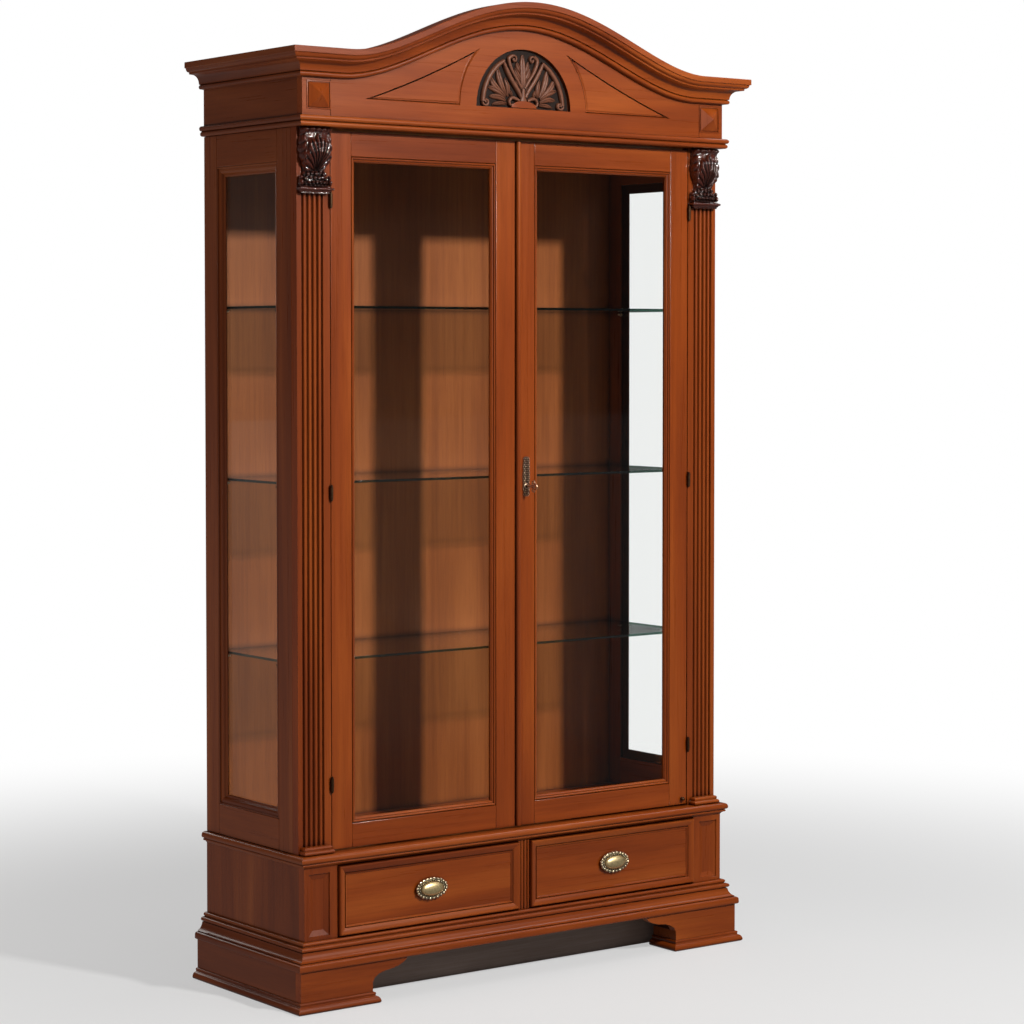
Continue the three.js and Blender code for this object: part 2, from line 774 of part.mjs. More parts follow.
// ---------------------------------------------------------------- doors
const doorFloor = waistTop + doorFootGap;
const doorCeiling = upperTop - doorHeadGap;
const doorEdge = pilasterInner - doorGap;
const leftDoor = [-doorEdge, meetingOffset - meetingGap / 2, doorFloor, doorCeiling];
const rightDoor = [meetingOffset + meetingGap / 2, doorEdge, doorFloor, doorCeiling];
const glassInset = doorBar + glazingMoulding;
const rebate = 6;
const doorProfile = [
  [0, doorPlane],
  [doorBar - 1, doorPlane],
  [doorBar, doorPlane + 2.5],
  [doorBar + 3, doorPlane + 1.5],
  [glassInset - 3, doorPlane + 6.5],
  [glassInset, doorPlane + 8],
  [glassInset, doorPlane + 9],
  [glassInset - rebate, doorPlane + 9],
  [glassInset - rebate, doorPlane + doorThickness],
  [0, doorPlane + doorThickness],
];
const keyX = rightDoor[0] + keyholeInset;

function rod(radius, x, z, y0, y1, segments = 16) {
  return new THREE.CylinderGeometry(radius, radius, y1 - y0, segments).translate(x, (y0 + y1) / 2, z);
}

const lockRear = doorPlane + doorThickness;
const lockPocket = [
  keyX - lockWidth / 2, keyX + lockWidth / 2, lockRear - lockDepth, lockRear + 2,
  keyholeHeight - lockHeight / 2, keyholeHeight + lockHeight / 2,
];

for (const side of [-1, 1]) {
  const name = sideName(side);
  const box = side < 0 ? leftDoor : rightDoor;
  let frame = frameRound(box, doorProfile);
  if (side > 0) {
    const keyhole = rod(keyholeRadius, keyX, keyholeHeight, doorPlane - 5, lockRear);
    frame = cut(frame, keyhole, block(...lockPocket));
  }
  place(`door_frame_${name}`, frame, wood);
  const inset = glassInset - rebate + fit;
  const paneFace = doorPlane + 9 + fit;
  place(`door_glass_${name}`, block(
    box[0] + inset, box[1] - inset, paneFace, paneFace + glassThickness, box[2] + inset, box[3] - inset,
  ), glass);

  hingeHeights.forEach((height, i) => {
    const axisY = doorPlane - hingeRadius - fit;
    const barrel = new THREE.CylinderGeometry(hingeRadius, hingeRadius, hingeLength, 16);
    barrel.rotateX(Math.PI / 2).translate(pilasterInner, axisY, height);
    const leafX = pilasterInner - fit;
    const leaf = block(
      leafX - hingeLeaf, leafX, axisY, doorPlane + doorThickness - 2,
      height - hingeLength / 2 + 1, height + hingeLength / 2 - 1,
    );
    const level = ['bottom', 'middle', 'top'][i];
    place(`hinge_${name}_${level}`, handed(join(barrel, leaf), side), brass);
  });
}

// Half-round bead down the meeting edge of the right-hand door.
const astragalPlan = spaced(0, Math.PI, 6).map((a) => [
  rightDoor[0] + astragalWidth / 2 + 0.5 + (astragalWidth / 2) * Math.cos(a),
  doorPlane - fit - astragalHeight * Math.sin(a),
]);
place('door_astragal', loft([doorFloor + 1, doorCeiling - 1].map((z) => astragalPlan.map(([x, y]) => [x, y, z]))), wood);

// ---------------------------------------------------------------- lock, escutcheon and key
place('lock_case', block(
  lockPocket[0] + fit, lockPocket[1] - fit, lockPocket[2] + fit, lockRear - fit,
  lockPocket[4] + fit, lockPocket[5] - fit,
), brass);

const plateCentre = keyholeHeight + escutcheonHeight / 2 - 24;
const plateOutline = spaced(0, 2 * Math.PI, 24).slice(0, -1).map((a) => [
  keyX + (escutcheonWidth / 2) * (1 + 0.15 * Math.cos(6 * a)) * Math.cos(a) * 0.87,
  plateCentre + (escutcheonHeight / 2) * Math.sin(a),
]);
const plate = boardFromOutline(plateOutline, doorPlane - fit - escutcheonThickness, doorPlane - fit);
place('escutcheon', cut(plate, rod(keyholeRadius, keyX, keyholeHeight, doorPlane - 10, doorPlane + 10)), brass);

const keyTip = doorPlane + doorThickness - lockDepth - 1;
const keyHead = doorPlane - keyLength;
const bowThickness = 2.6;
const bow = new THREE.TorusGeometry(keyBowRadius, bowThickness, 8, 20);
bow.rotateY(Math.PI / 2).translate(keyX, keyHead + keyBowRadius + bowThickness, keyholeHeight);
const bowInner = keyHead + 2 * keyBowRadius + bowThickness - 1;
const shaft = rod(keyRadius, keyX, keyholeHeight, bowInner, keyTip, 12);
const collar = rod(keyRadius + 1.6, keyX, keyholeHeight, bowInner + 1.5, bowInner + 5, 12);
place('key', join(bow, shaft, collar), brass);

export default cabinet;
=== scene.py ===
"""China cabinet with glass doors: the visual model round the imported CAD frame, and a plain studio.

Sizes are in millimetres and turned into metres where a mesh is made. +Z is up and the front faces -Y.
"""

import math

import bmesh
import bpy
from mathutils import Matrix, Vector


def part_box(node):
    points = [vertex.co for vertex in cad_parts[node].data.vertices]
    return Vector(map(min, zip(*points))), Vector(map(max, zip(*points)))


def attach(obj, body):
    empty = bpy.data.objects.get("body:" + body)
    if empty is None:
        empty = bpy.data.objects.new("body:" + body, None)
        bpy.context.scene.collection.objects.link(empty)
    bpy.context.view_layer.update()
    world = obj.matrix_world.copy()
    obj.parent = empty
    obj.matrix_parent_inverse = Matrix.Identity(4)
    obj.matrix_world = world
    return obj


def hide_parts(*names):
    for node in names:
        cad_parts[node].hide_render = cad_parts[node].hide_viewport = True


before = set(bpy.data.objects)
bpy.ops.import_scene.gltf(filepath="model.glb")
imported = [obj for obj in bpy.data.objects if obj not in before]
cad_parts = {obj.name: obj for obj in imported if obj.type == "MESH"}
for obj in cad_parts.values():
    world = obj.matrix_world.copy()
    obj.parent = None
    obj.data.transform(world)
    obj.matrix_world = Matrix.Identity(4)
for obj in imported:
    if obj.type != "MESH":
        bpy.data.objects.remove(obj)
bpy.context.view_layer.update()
scene = bpy.context.scene

MM = 0.001
SIDES = (("left", -1), ("right", 1))


def span(node):
    """The lowest and the highest corner of a CAD node."""
    return [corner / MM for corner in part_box(node)]


def low(node):
    return span(node)[0]


def high(node):
    return span(node)[1]


# ---------------------------------------------------------------- places taken from the frame
HALF = high("corner_post_right").x
FRONT = low("corner_post_right").y
REAR = high("side_frame_right").y
BOARD = high("side_frame_right").x - low("side_frame_right").x
PLINTH_TOP = low("base_moulding").z
PLINTH_OVERHANG = high("plinth_side_right").x - HALF
WAIST_BOTTOM, WAIST_TOP = low("waist_board").z, high("waist_board").z
UPPER_TOP, FRIEZE_BOTTOM = low("frieze_bead").z, high("frieze_bead").z
CROWN_STEP = 4  # from the top of the frieze boards to the crown's flat ends
CROWN_TOP = high("frieze_side_right").z + CROWN_STEP
CROWN_PEAK = high("crown_moulding").z
CROWN_OVERHANG = high("crown_moulding").x - HALF
CROWN_HEIGHT = 60
CROWN_HALF_SPAN = 505
PILASTER_INNER = low("pilaster_right").x
LUNETTE_FOOT = 1  # the carving starts this far below the lunette's centre
LUNETTE_Z = low("frieze_carving").z + LUNETTE_FOOT
LUNETTE_RADIUS = 135
LUNETTE_DEPTH = 9
RELIEF_FLOOR = FRONT + LUNETTE_DEPTH - 0.3


# ---------------------------------------------------------------- curves
def bend(start, control, end, steps=8):
    """Points of a gentle curve after start, bent towards control."""
    points = []
    for i in range(1, steps + 1):
        t = i / steps
        points.append(tuple(
            (1 - t) ** 2 * s + 2 * t * (1 - t) * c + t * t * e
            for s, c, e in zip(start, control, end)
        ))
    return points


def arc(centre, radii, start, end, steps=8, first=1):
    """Points round a centre between two angles in degrees. The start is left out unless first is 0."""
    rx, ry = radii if isinstance(radii, tuple) else (radii, radii)
    points = []
    for i in range(first, steps + 1):
        a = math.radians(start + (end - start) * i / steps)
        points.append((centre[0] + rx * math.cos(a), centre[1] + ry * math.sin(a)))
    return points


def circle(radius, sides):
    """Points of a full circle round the origin."""
    return arc((0, 0), radius, 0, 360, sides, first=0)[:-1]


def rectangle(across, up, inset):
    """The four corners of a rectangle, moved inwards by the inset."""
    (x0, x1), (z0, z1) = across, up
    x0, x1, z0, z1 = x0 + inset, x1 - inset, z0 + inset, z1 - inset
    return [(x0, z0), (x1, z0), (x1, z1), (x0, z1)]


def raised(profile, height):
    """The same profile, moved up."""
    return [(out, z + height) for out, z in profile]


def spaced(start, end, count):
    """Both ends and the even steps between them."""
    return [start + (end - start) * i / count for i in range(count + 1)]


def smooth_step(low_edge, high_edge, value):
    """0 at the low edge, 1 at the high edge and a smooth rise between them."""
    t = min(max((value - low_edge) / (high_edge - low_edge), 0), 1)
    return t * t * (3 - 2 * t)


def piecewise(table, t):
    """A smooth curve through (t, value) pairs."""
    for (t0, v0), (t1, v1) in zip(table, table[1:]):
        if t <= t1:
            return v0 + (v1 - v0) * smooth_step(t0, t1, t)
    return table[-1][1]


# ---------------------------------------------------------------- meshes
BOX_FACES = [(0, 1, 3, 2), (4, 6, 7, 5), (0, 4, 5, 1), (2, 3, 7, 6), (0, 2, 6, 4), (1, 5, 7, 3)]


def make(name, vertices, faces, material, body="case", replaces=None, bevel=0.0, crease=32):
    """A piece from millimetre vertices: shaded smooth up to the crease angle, riding on its body."""
    mesh = bpy.data.meshes.new(name)
    mesh.from_pydata([tuple(c * MM for c in v) for v in vertices], [], faces)
    bm = bmesh.new()
    bm.from_mesh(mesh)
    bmesh.ops.remove_doubles(bm, verts=bm.verts, dist=1e-6)
    bmesh.ops.recalc_face_normals(bm, faces=bm.faces)
    bm.to_mesh(mesh)
    bm.free()
    mesh.polygons.foreach_set("use_smooth", [True] * len(mesh.polygons))
    mesh.set_sharp_from_angle(angle=math.radians(crease))
    piece = bpy.data.objects.new(name, mesh)
    scene.collection.objects.link(piece)
    mesh.materials.append(material)
    if bevel:
        soften(piece, bevel)
    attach(piece, body)
    if replaces:
        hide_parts(replaces)
    return piece


def soften(piece, width):
    """Rounds the sharp edges of a piece by a small bevel."""
    modifier = piece.modifiers.new("soft_edges", "BEVEL")
    modifier.width = width * MM
    modifier.segments = 2
    modifier.limit_method = "ANGLE"
    modifier.angle_limit = math.radians(40)
    modifier.harden_normals = False


class Parts:
    """Collects several closed shells into one piece."""

    def __init__(self):
        self.vertices = []
        self.faces = []

    def add(self, vertices, faces):
        base = len(self.vertices)
        self.vertices += [tuple(v) for v in vertices]
        self.faces += [tuple(base + i for i in f) for f in faces]

    def add_box(self, x, y, z):
        """A box between three pairs of limits."""
        self.add([(a, b, c) for c in z for b in y for a in x], BOX_FACES)

    def add_loft(self, rings, closed=False):
        """A skin over rings of points, capped at both ends unless it closes on itself."""
        total, count = len(rings), len(rings[0])
        faces = []
        for r in range(total if closed else total - 1):
            n = (r + 1) % total
            for i in range(count):
                j = (i + 1) % count
                faces.append((r * count + i, r * count + j, n * count + j, n * count + i))
        if not closed:
            faces.append(tuple(range(count)))
            faces.append(tuple(range((total - 1) * count, total * count)))
        self.add([p for ring in rings for p in ring], faces)

    def add_ball(self, centre, radii, rings=8, sides=12):
        """A small ellipsoid."""
        vertices = []
        for i in range(1, rings):
            polar = math.pi * i / rings
            for across, along in circle(math.sin(polar), sides):
                vertices.append((
                    centre[0] + radii[0] * across,
                    centre[1] + radii[1] * along,
                    centre[2] + radii[2] * math.cos(polar),
                ))
        top = len(vertices)
        vertices.append((centre[0], centre[1], centre[2] + radii[2]))
        vertices.append((centre[0], centre[1], centre[2] - radii[2]))
        faces = []
        last = (rings - 2) * sides
        for i in range(0, last, sides):
            for j in range(sides):
                k = (j + 1) % sides
                faces.append((i + j, i + k, i + sides + k, i + sides + j))
        for j in range(sides):
            k = (j + 1) % sides
            faces.append((top, k, j))
            faces.append((top + 1, last + j, last + k))
        self.add(vertices, faces)

    def mirror(self):
        """Adds the same shells again on the other side of x = 0."""
        self.add([(-x, y, z) for x, y, z in self.vertices], list(self.faces))

    def build(self, name, material, **options):
        return make(name, self.vertices, self.faces, material, **options)


def loft(name, rings, material, closed=False, **options):
    """A piece with one skin over its rings."""
    parts = Parts()
    parts.add_loft(rings, closed)
    return parts.build(name, material, **options)


def upright(name, plan, z, material, **options):
    """A straight piece with one plan all the way up."""
    return loft(name, [[(x, y, height) for x, y in plan] for height in z], material, **options)


def board(name, x, y, z, material, bevel=1.2, **options):
    """A sawn board between three pairs of limits."""
    parts = Parts()
    parts.add_box(x, y, z)
    return parts.build(name, material, bevel=bevel, **options)


def turned(centre, along, stations, sides=20):
    """Rings of a turned shape: stations are (radius, place along the axis)."""
    rings = []
    for radius, place in stations:
        ring = []
        for u, v in circle(radius, sides):
            offset = {"x": (place, u, v), "y": (u, place, v), "z": (u, v, place)}[along]
            ring.append(tuple(c + o for c, o in zip(centre, offset)))
        rings.append(ring)
    return rings


def run(name, profile, start, end, outward, mitres, material, **options):
    """A straight moulding. Profile points are (outward, height); a mitre of 1 is an outer corner."""
    a, b, out = Vector(start), Vector(end), Vector(outward)
    along = (b - a).normalized()
    rings = []
    for point, direction, mitre in ((a, -along, mitres[0]), (b, along, mitres[1])):
        rings.append([(*(point + out * o + direction * mitre * o), z) for o, z in profile])
    loft(name, rings, material, **options)


def three_sides(name, profile, node):
    """A moulding round the left side, the front and the right side, mitred at the front corners."""
    run(f"{name}_front", profile, (-HALF, FRONT), (HALF, FRONT), (0, -1), (1, 1), WOOD_X, replaces=node)
    for side, sign in SIDES:
        run(f"{name}_{side}", profile, (sign * HALF, REAR), (sign * HALF, FRONT), (sign, 0), (0, 1), SIDE_Y)


def mitred_frame(names, across, up, profile, place, woods, replaces=None, **options):
    """Four mouldings round a rectangle. Profile points are (inwards, depth); place makes a point of them."""
    corners = list(zip(rectangle(across, up, 0), ((1, 1), (-1, 1), (-1, -1), (1, -1))))
    for i, name in enumerate(names):
        rings = []
        for (u, v), (du, dv) in (corners[i], corners[(i + 1) % 4]):
            rings.append([place(u + du * t, v + dv * t, depth) for t, depth in profile])
        loft(name, rings, woods[i % 2], replaces=None if i else replaces, **options)


# ---------------------------------------------------------------- material helpers
WHITE = (1.0, 1.0, 1.0)


class Tree:
    """The node tree of a material or a world, empty at first."""

    def __init__(self, owner):
        owner.use_nodes = True
        self.owner = owner
        self.nodes = owner.node_tree.nodes
        self.nodes.clear()

    def add(self, kind, output, inputs, **settings):
        """A new node, whose inputs take values or other nodes' outputs. It gives one of its own outputs."""
        node = self.nodes.new("ShaderNode" + kind)
        for key, value in settings.items():
            setattr(node, key, value)
        for key, value in inputs.items():
            if isinstance(value, bpy.types.NodeSocket):
                self.owner.node_tree.links.new(value, node.inputs[key])
            else:
                node.inputs[key].default_value = value
        return node.outputs[output] if output else None

    def ramp(self, source, *stops):
        """A colour ramp through (position, tone) stops."""
        color = self.add("ValToRGB", "Color", {"Fac": source})
        elements = color.node.color_ramp.elements
        while len(elements) < len(stops):
            elements.new(0.5)
        for element, (position, tone) in zip(elements, stops):
            element.position = position
            element.color = (*tone, 1.0)
        return color

    def multiply(self, amount, first, second):
        return self.add("Mix", "Result", {"Factor": amount, "A": first, "B": second},
                        data_type="RGBA", blend_type="MULTIPLY")

    def grain(self, along, across, lengthwise, detail=3.0, rough=0.55, distortion=0.0):
        """Noise stretched along the grain, shifted for each piece so that no two boards match."""
        chance = self.add("ObjectInfo", "Random", {})
        shift = self.add("Math", "Value", {0: chance, 1: 13.0}, operation="MULTIPLY")
        place = self.add("TexCoord", "Object", {})
        shifted = self.add("VectorMath", "Vector", {0: place, 1: shift}, operation="ADD")
        scales = [across, across, across]
        scales["XYZ".index(along)] = lengthwise
        vector = self.add("Mapping", "Vector", {"Scale": scales, "Vector": shifted})
        return self.add("TexNoise", "Fac", {
            "Vector": vector, "Scale": 1.0, "Detail": detail, "Roughness": rough, "Distortion": distortion,
        })

    def hollows(self, distance, samples=8):
        """Dark in corners and hollows narrower than the distance, in metres."""
        return self.add("AmbientOcclusion", "AO", {"Distance": distance}, samples=samples)

    def scaled(self, value, lowest, highest):
        return self.add("MapRange", "Result", {"To Min": lowest, "To Max": highest, "Value": value})

    def bump(self, height, strength, distance):
        return self.add("Bump", "Normal", {"Strength": strength, "Distance": distance, "Height": height})

    def choose(self, share, first, second):
        return self.add("MixShader", "Shader", {"Fac": share, 1: first, 2: second})

    def finish(self, surface, kind="OutputMaterial"):
        self.add(kind, None, {"Surface": surface})
        return self.owner

    def principled(self, values):
        """Ends the material in one principled surface."""
        return self.finish(self.add("BsdfPrincipled", "BSDF", values))


def new_tree(name):
    return Tree(bpy.data.materials.new(name))


# ---------------------------------------------------------------- materials
def wood(name, along, tones, roughness=0.27, coat=0.35):
    """Stained and lacquered wood: slow figure, fine grain, pores, and painted shade that darkens the corners
    and hollows.
    """
    tree = new_tree(f"{name}_{along.lower()}")
    dark, middle, light = tones
    figure = tree.grain(along, 9.0, 0.9, 3.0, 0.5, 0.6)
    grain = tree.grain(along, 130.0, 3.0, 4.0, 0.6, 0.3)
    pores = tree.grain(along, 900.0, 22.0, 2.0, 0.5)
    color = tree.ramp(figure, (0.32, dark), (0.52, middle), (0.72, light))
    color = tree.multiply(0.5, color, tree.ramp(grain, (0.3, (0.66, 0.6, 0.56)), (0.62, WHITE)))
    color = tree.multiply(0.35, color, tree.ramp(pores, (0.3, (0.55, 0.5, 0.48)), (0.46, WHITE)))
    # Painted shade: the colour is darkened to as little as 0.15 in corners and hollows narrower than 20 mm,
    # where shade falls.
    corners = tree.ramp(tree.hollows(0.02, 6), (0.25, (0.15, 0.12, 0.105)), (0.80, WHITE))
    return tree.principled({
        "Base Color": tree.multiply(1.0, color, corners),
        "Roughness": tree.scaled(grain, roughness - 0.05, roughness + 0.1),
        "Specular IOR Level": 0.36,
        "Coat Weight": coat,
        "Coat Roughness": 0.14,
        "Normal": tree.bump(grain, 0.12, 0.0006),
    })


def carved_wood():
    """Near-black antique stain, worn to reddish brown on the tops of the relief, with painted shade that
    darkens it to black in the hollows, under thick gloss.
    """
    tree = new_tree("carved_wood")
    # Painted shade and wear: the stain goes to black in hollows hemmed in within 6 mm, where shade falls; the
    # open tops are the worn reddish brown.
    wear_and_shade = tree.ramp(tree.hollows(0.006), (0.35, (0.003, 0.001, 0.0006)), (0.75, (0.018, 0.0026, 0.0010)),
                     (1.0, (0.070, 0.010, 0.0030)))
    stain = tree.ramp(tree.grain("Z", 220.0, 60.0), (0.35, (0.6, 0.55, 0.5)), (0.65, WHITE))
    chisel = tree.bump(tree.grain("Z", 210.0, 150.0, 2.0), 0.5, 0.0022)
    return tree.principled({
        "Base Color": tree.multiply(0.7, wear_and_shade, stain),
        "Roughness": 0.26,
        "Specular IOR Level": 0.4,
        "Coat Weight": 1.0,
        "Coat Roughness": 0.1,
        "Normal": chisel,
        "Coat Normal": chisel,
    })


def lunette_wood():
    """The lunette's relief: frieze colour on the tops, and painted shade that darkens it to black in every
    hollow.
    """
    tree = new_tree("lunette_wood")
    # Painted shade: the relief goes to black where it is hemmed in within 11 mm, where shade falls round each
    # element.
    wear_and_shade = tree.ramp(tree.hollows(0.011), (0.3, (0.008, 0.004, 0.003)), (0.55, (0.060, 0.021, 0.012)),
                     (0.88, (0.175, 0.062, 0.032)))
    stain = tree.ramp(tree.grain("X", 160.0, 8.0), (0.3, (0.62, 0.56, 0.52)), (0.6, WHITE))
    return tree.principled({
        "Base Color": tree.multiply(0.6, wear_and_shade, stain),
        "Roughness": 0.46,
        "Specular IOR Level": 0.3,
    })


def ground_stain():
    """The speckled black ground behind the lunette's relief."""
    tree = new_tree("ground_stain")
    speckle = tree.grain("X", 500.0, 400.0)
    return tree.principled({
        "Base Color": tree.ramp(speckle, (0.35, (0.008, 0.005, 0.004)), (0.7, (0.028, 0.014, 0.010))),
        "Roughness": 0.6,
        "Specular IOR Level": 0.12,
    })


def old_brass(name, bright, dull, roughness):
    """Cast brass, polished on the tops and tarnished in the hollows."""
    tree = new_tree(name)
    black = tuple(c * 0.12 for c in dull)
    tone = tree.ramp(tree.hollows(0.004), (0.35, black), (0.75, dull), (1.0, bright))
    blotch = tree.grain("Z", 260.0, 260.0)
    stain = tree.ramp(blotch, (0.35, (0.6, 0.57, 0.5)), (0.62, WHITE))
    return tree.principled({
        "Base Color": tree.multiply(0.6, tone, stain),
        "Metallic": 1.0,
        "Roughness": tree.scaled(blotch, roughness, roughness + 0.18),
    })


def pane_glass(name, tint, mirror, roughness=0.02):
    """Thin clear glass: what is behind shows through, with gloss that grows at a slant."""
    tree = new_tree(name)
    clear = tree.add("BsdfTransparent", "BSDF", {"Color": (*tint, 1.0)})
    gloss = tree.add("BsdfGlossy", "BSDF", {"Color": (*WHITE, 1.0), "Roughness": roughness})
    slant = tree.add("LayerWeight", "Facing", {"Blend": 0.5})
    curve = tree.add("Math", "Value", {0: slant, 1: 3.5}, operation="POWER")
    return tree.finish(tree.choose(tree.scaled(curve, mirror, 0.9), clear, gloss))


FRONT_TONES = ((0.185, 0.029, 0.0022), (0.280, 0.050, 0.0040), (0.385, 0.084, 0.0095))
# Painted shade: the side wood is a darker copy of the front wood, for the sides that face away from the main
# light.
SHADED_SIDE_TONES = ((0.130, 0.024, 0.0040), (0.205, 0.043, 0.0075), (0.290, 0.072, 0.0150))
DARK_TONES = ((0.270, 0.200, 0.170), (0.370, 0.280, 0.240), (0.470, 0.360, 0.310))
BACK_TONES = ((0.250, 0.064, 0.0110), (0.340, 0.095, 0.0180), (0.430, 0.130, 0.0280))
INNER_TONES = ((0.210, 0.120, 0.062), (0.300, 0.185, 0.100), (0.380, 0.250, 0.145))
WOOD_X, WOOD_Y, WOOD_Z = (wood("front_wood", along, FRONT_TONES) for along in "XYZ")
SIDE_Y, SIDE_Z = (wood("side_wood", along, SHADED_SIDE_TONES) for along in "YZ")
DARK_X = wood("dark_wood", "X", DARK_TONES, 0.45, 0.1)
BACK_X, BACK_Z = (wood("back_wood", along, BACK_TONES, 0.42, 0.1) for along in "XZ")
INNER_X, INNER_Y = (wood("inner_wood", along, INNER_TONES, 0.5, 0.0) for along in "XY")
CARVED = carved_wood()
LUNETTE = lunette_wood()
GROUND = ground_stain()
BRASS = old_brass("old_brass", (0.92, 0.80, 0.58), (0.42, 0.33, 0.20), 0.24)
DOME_BRASS = old_brass("dome_brass", (0.98, 0.78, 0.42), (0.80, 0.60, 0.30), 0.34)
BRONZE = old_brass("key_bronze", (0.78, 0.52, 0.36), (0.20, 0.10, 0.06), 0.24)
IRON = old_brass("hinge_brass", (0.10, 0.055, 0.03), (0.04, 0.022, 0.014), 0.35)
PANE = pane_glass("clear_glass", (0.985, 0.99, 0.987), 0.014)
SHELF = pane_glass("shelf_glass", (0.95, 0.985, 0.97), 0.03)
SHELF_EDGE = pane_glass("shelf_edge", (0.16, 0.30, 0.25), 0.06, 0.08)


def dress(node, material, bevel=0.0):
    """Gives a CAD node its finish, and soft edges where a bevel is asked for."""
    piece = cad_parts[node]
    piece.data.materials.clear()
    piece.data.materials.append(material)
    if bevel:
        soften(piece, bevel)


# ---------------------------------------------------------------- boards that keep their CAD shape
for side, _ in SIDES:
    dress(f"plinth_foot_{side}", WOOD_X, 0.8)
    dress(f"plinth_side_{side}", SIDE_Y, 0.8)
    dress(f"lower_side_{side}", SIDE_Z, 0.8)
    dress(f"corner_post_{side}", WOOD_Z, 0.6)
    dress(f"drawer_box_{side}", INNER_Y, 1.0)
    dress(f"frieze_side_{side}", SIDE_Y, 0.8)
dress("plinth_kickboard", DARK_X, 0.6)
dress("plinth_back", BACK_X, 0.6)
dress("lower_back", BACK_X, 0.6)
dress("lower_bottom", INNER_X, 0.6)
dress("top_board", INNER_X, 0.6)
dress("upper_back", BACK_Z, 0.4)
dress("frieze_front", WOOD_X)
dress("lock_case", IRON, 0.5)

# ---------------------------------------------------------------- floor, base and waist mouldings
FOOT_WIDTH = 188
FLOOR_PROFILE = [
    (0.3, 0.0), (10, 0.0), *bend((10, 0), (15.2, 1.5), (13, 8), 6),
    *bend((13, 8), (11, 14.5), (5.5, 15.5), 6), (4.2, 16.8), (4.2, 18.2),
    *arc((1.8, 20.8), 3.2, -47, 90, 8), (0.3, 24.0),
]


def floor_moulding(side, sign):
    """Along the plinth's side, across the foot and back along the foot's inner return."""
    name = f"floor_moulding_{side}"
    edge, front = sign * (HALF + PLINTH_OVERHANG), FRONT - PLINTH_OVERHANG
    foot = high("plinth_foot_right")
    neck = sign * (foot.x - FOOT_WIDTH)
    run(f"{name}_side", FLOOR_PROFILE, (edge, REAR), (edge, front), (sign, 0), (0, 1), SIDE_Y, replaces=name)
    run(f"{name}_front", FLOOR_PROFILE, (neck, front), (edge, front), (0, -1), (1, 1), WOOD_X)
    run(f"{name}_return", FLOOR_PROFILE, (neck, foot.y), (neck, front), (-sign, 0), (0, 1), WOOD_Y)


def base_profile():
    """Heights are above the plinth."""
    reach = high("base_moulding").x - HALF
    top = high("base_moulding").z - PLINTH_TOP
    start, lip = (PLINTH_OVERHANG, 0), (reach - 6.6, 20)
    return [
        (-40, 0), start, *bend(start, (reach, 0.5), (reach, 5), 4),
        *bend((reach, 12), (reach - 1, 16.5), (reach - 5, 17.5), 5),
        (reach - 8.4, 18.0), (reach - 8.4, 19.6), lip, *bend(lip, (15.5, 23), (13, top - 21.5), 10),
        (10.4, top - 21), (10.4, top - 19.6), *arc((12.0, top - 14.8), 4.7, -80, 85, 10),
        (9.2, top - 9.9), (7.2, top - 9.5), (7.2, top - 8.4), *arc((5.2, top - 4.4), 4.2, -60, 90, 8),
        (1, top), (-40, top),
    ]


def waist_profile():
    """Heights are above the drawer case."""
    reach = high("waist_board").x - HALF
    top = WAIST_TOP - WAIST_BOTTOM
    nose = (reach - 0.2, top - 5)
    return [
        (-6, 0), (0.8, 0), *bend((0.8, 0), (3, 4), (7, 5), 5), *arc((7.2, 7.6), 2.6, -90, 70, 6),
        (8.2, 11), (10, 11.6), *bend((10, 11.6), (reach + 2.4, 13), nose, 6),
        *bend(nose, (reach - 2, top - 0.2), (reach - 8, top), 5), (-6, top),
    ]


for side, sign in SIDES:
    floor_moulding(side, sign)
three_sides("base_moulding", raised(base_profile(), PLINTH_TOP), "base_moulding")
three_sides("waist_moulding", raised(waist_profile(), WAIST_BOTTOM), "waist_board")
WAIST_LAP = 5.7
board("waist_slab", (-HALF + WAIST_LAP, HALF - WAIST_LAP), (FRONT + WAIST_LAP, REAR),
      (WAIST_BOTTOM, WAIST_TOP), WOOD_X, bevel=0)


# ---------------------------------------------------------------- drawers
def drawer_stile():
    """The stile between the drawers, with two reeds in a sunk field, and the partition behind it."""
    lo, hi = span("drawer_divider")
    field = FRONT + 3
    plan = [(-hi.x, FRONT + BOARD), (-hi.x, FRONT), (-10.4, FRONT), (-9.6, field)]
    for centre in (-4.9, 4.9):
        reed = arc((centre, field), (4.2, 3.6), 180, 345, 11)
        plan += [(centre - 4.2, field), *reed, (centre + 4.2, field)]
    plan += [(9.6, field), (10.4, FRONT), (hi.x, FRONT), (hi.x, FRONT + BOARD)]
    upright("drawer_stile", plan, (lo.z, hi.z), WOOD_Z, replaces="drawer_divider")
    board("drawer_partition", (-10, 10), (FRONT + BOARD - 1, hi.y), (high("lower_bottom").z + 0.3, hi.z),
          INNER_Y)


DRAWER_FRAME = [
    (0.0, 6.0), (0.2, -4.4), (1.2, -7.0), (3.2, -8.6), (4.6, -8.4), (15.4, -2.6), (16.2, -0.6), (17.2, -0.4),
    (18.0, -2.6), (20.2, -2.0), (21.6, 0.2), (21.6, 6.0),
]


def drawer(side):
    """A drawer front: four mitred frame members round a flat field."""
    node, body, gap = f"drawer_front_{side}", f"drawer_{side}", 0.4
    lo, hi = span(node)
    board(f"drawer_field_{side}", (lo.x + gap, hi.x - gap), (FRONT + 0.2, hi.y),
          (lo.z + gap, hi.z - gap), WOOD_X, bevel=0.4, replaces=node, body=body)
    mitred_frame([f"drawer_{edge}_{side}" for edge in ("foot", "right", "head", "left")],
                 (lo.x, hi.x), (lo.z, hi.z), DRAWER_FRAME, lambda x, z, depth: (x, FRONT + depth, z),
                 (WOOD_X, WOOD_Z), crease=25, body=body)


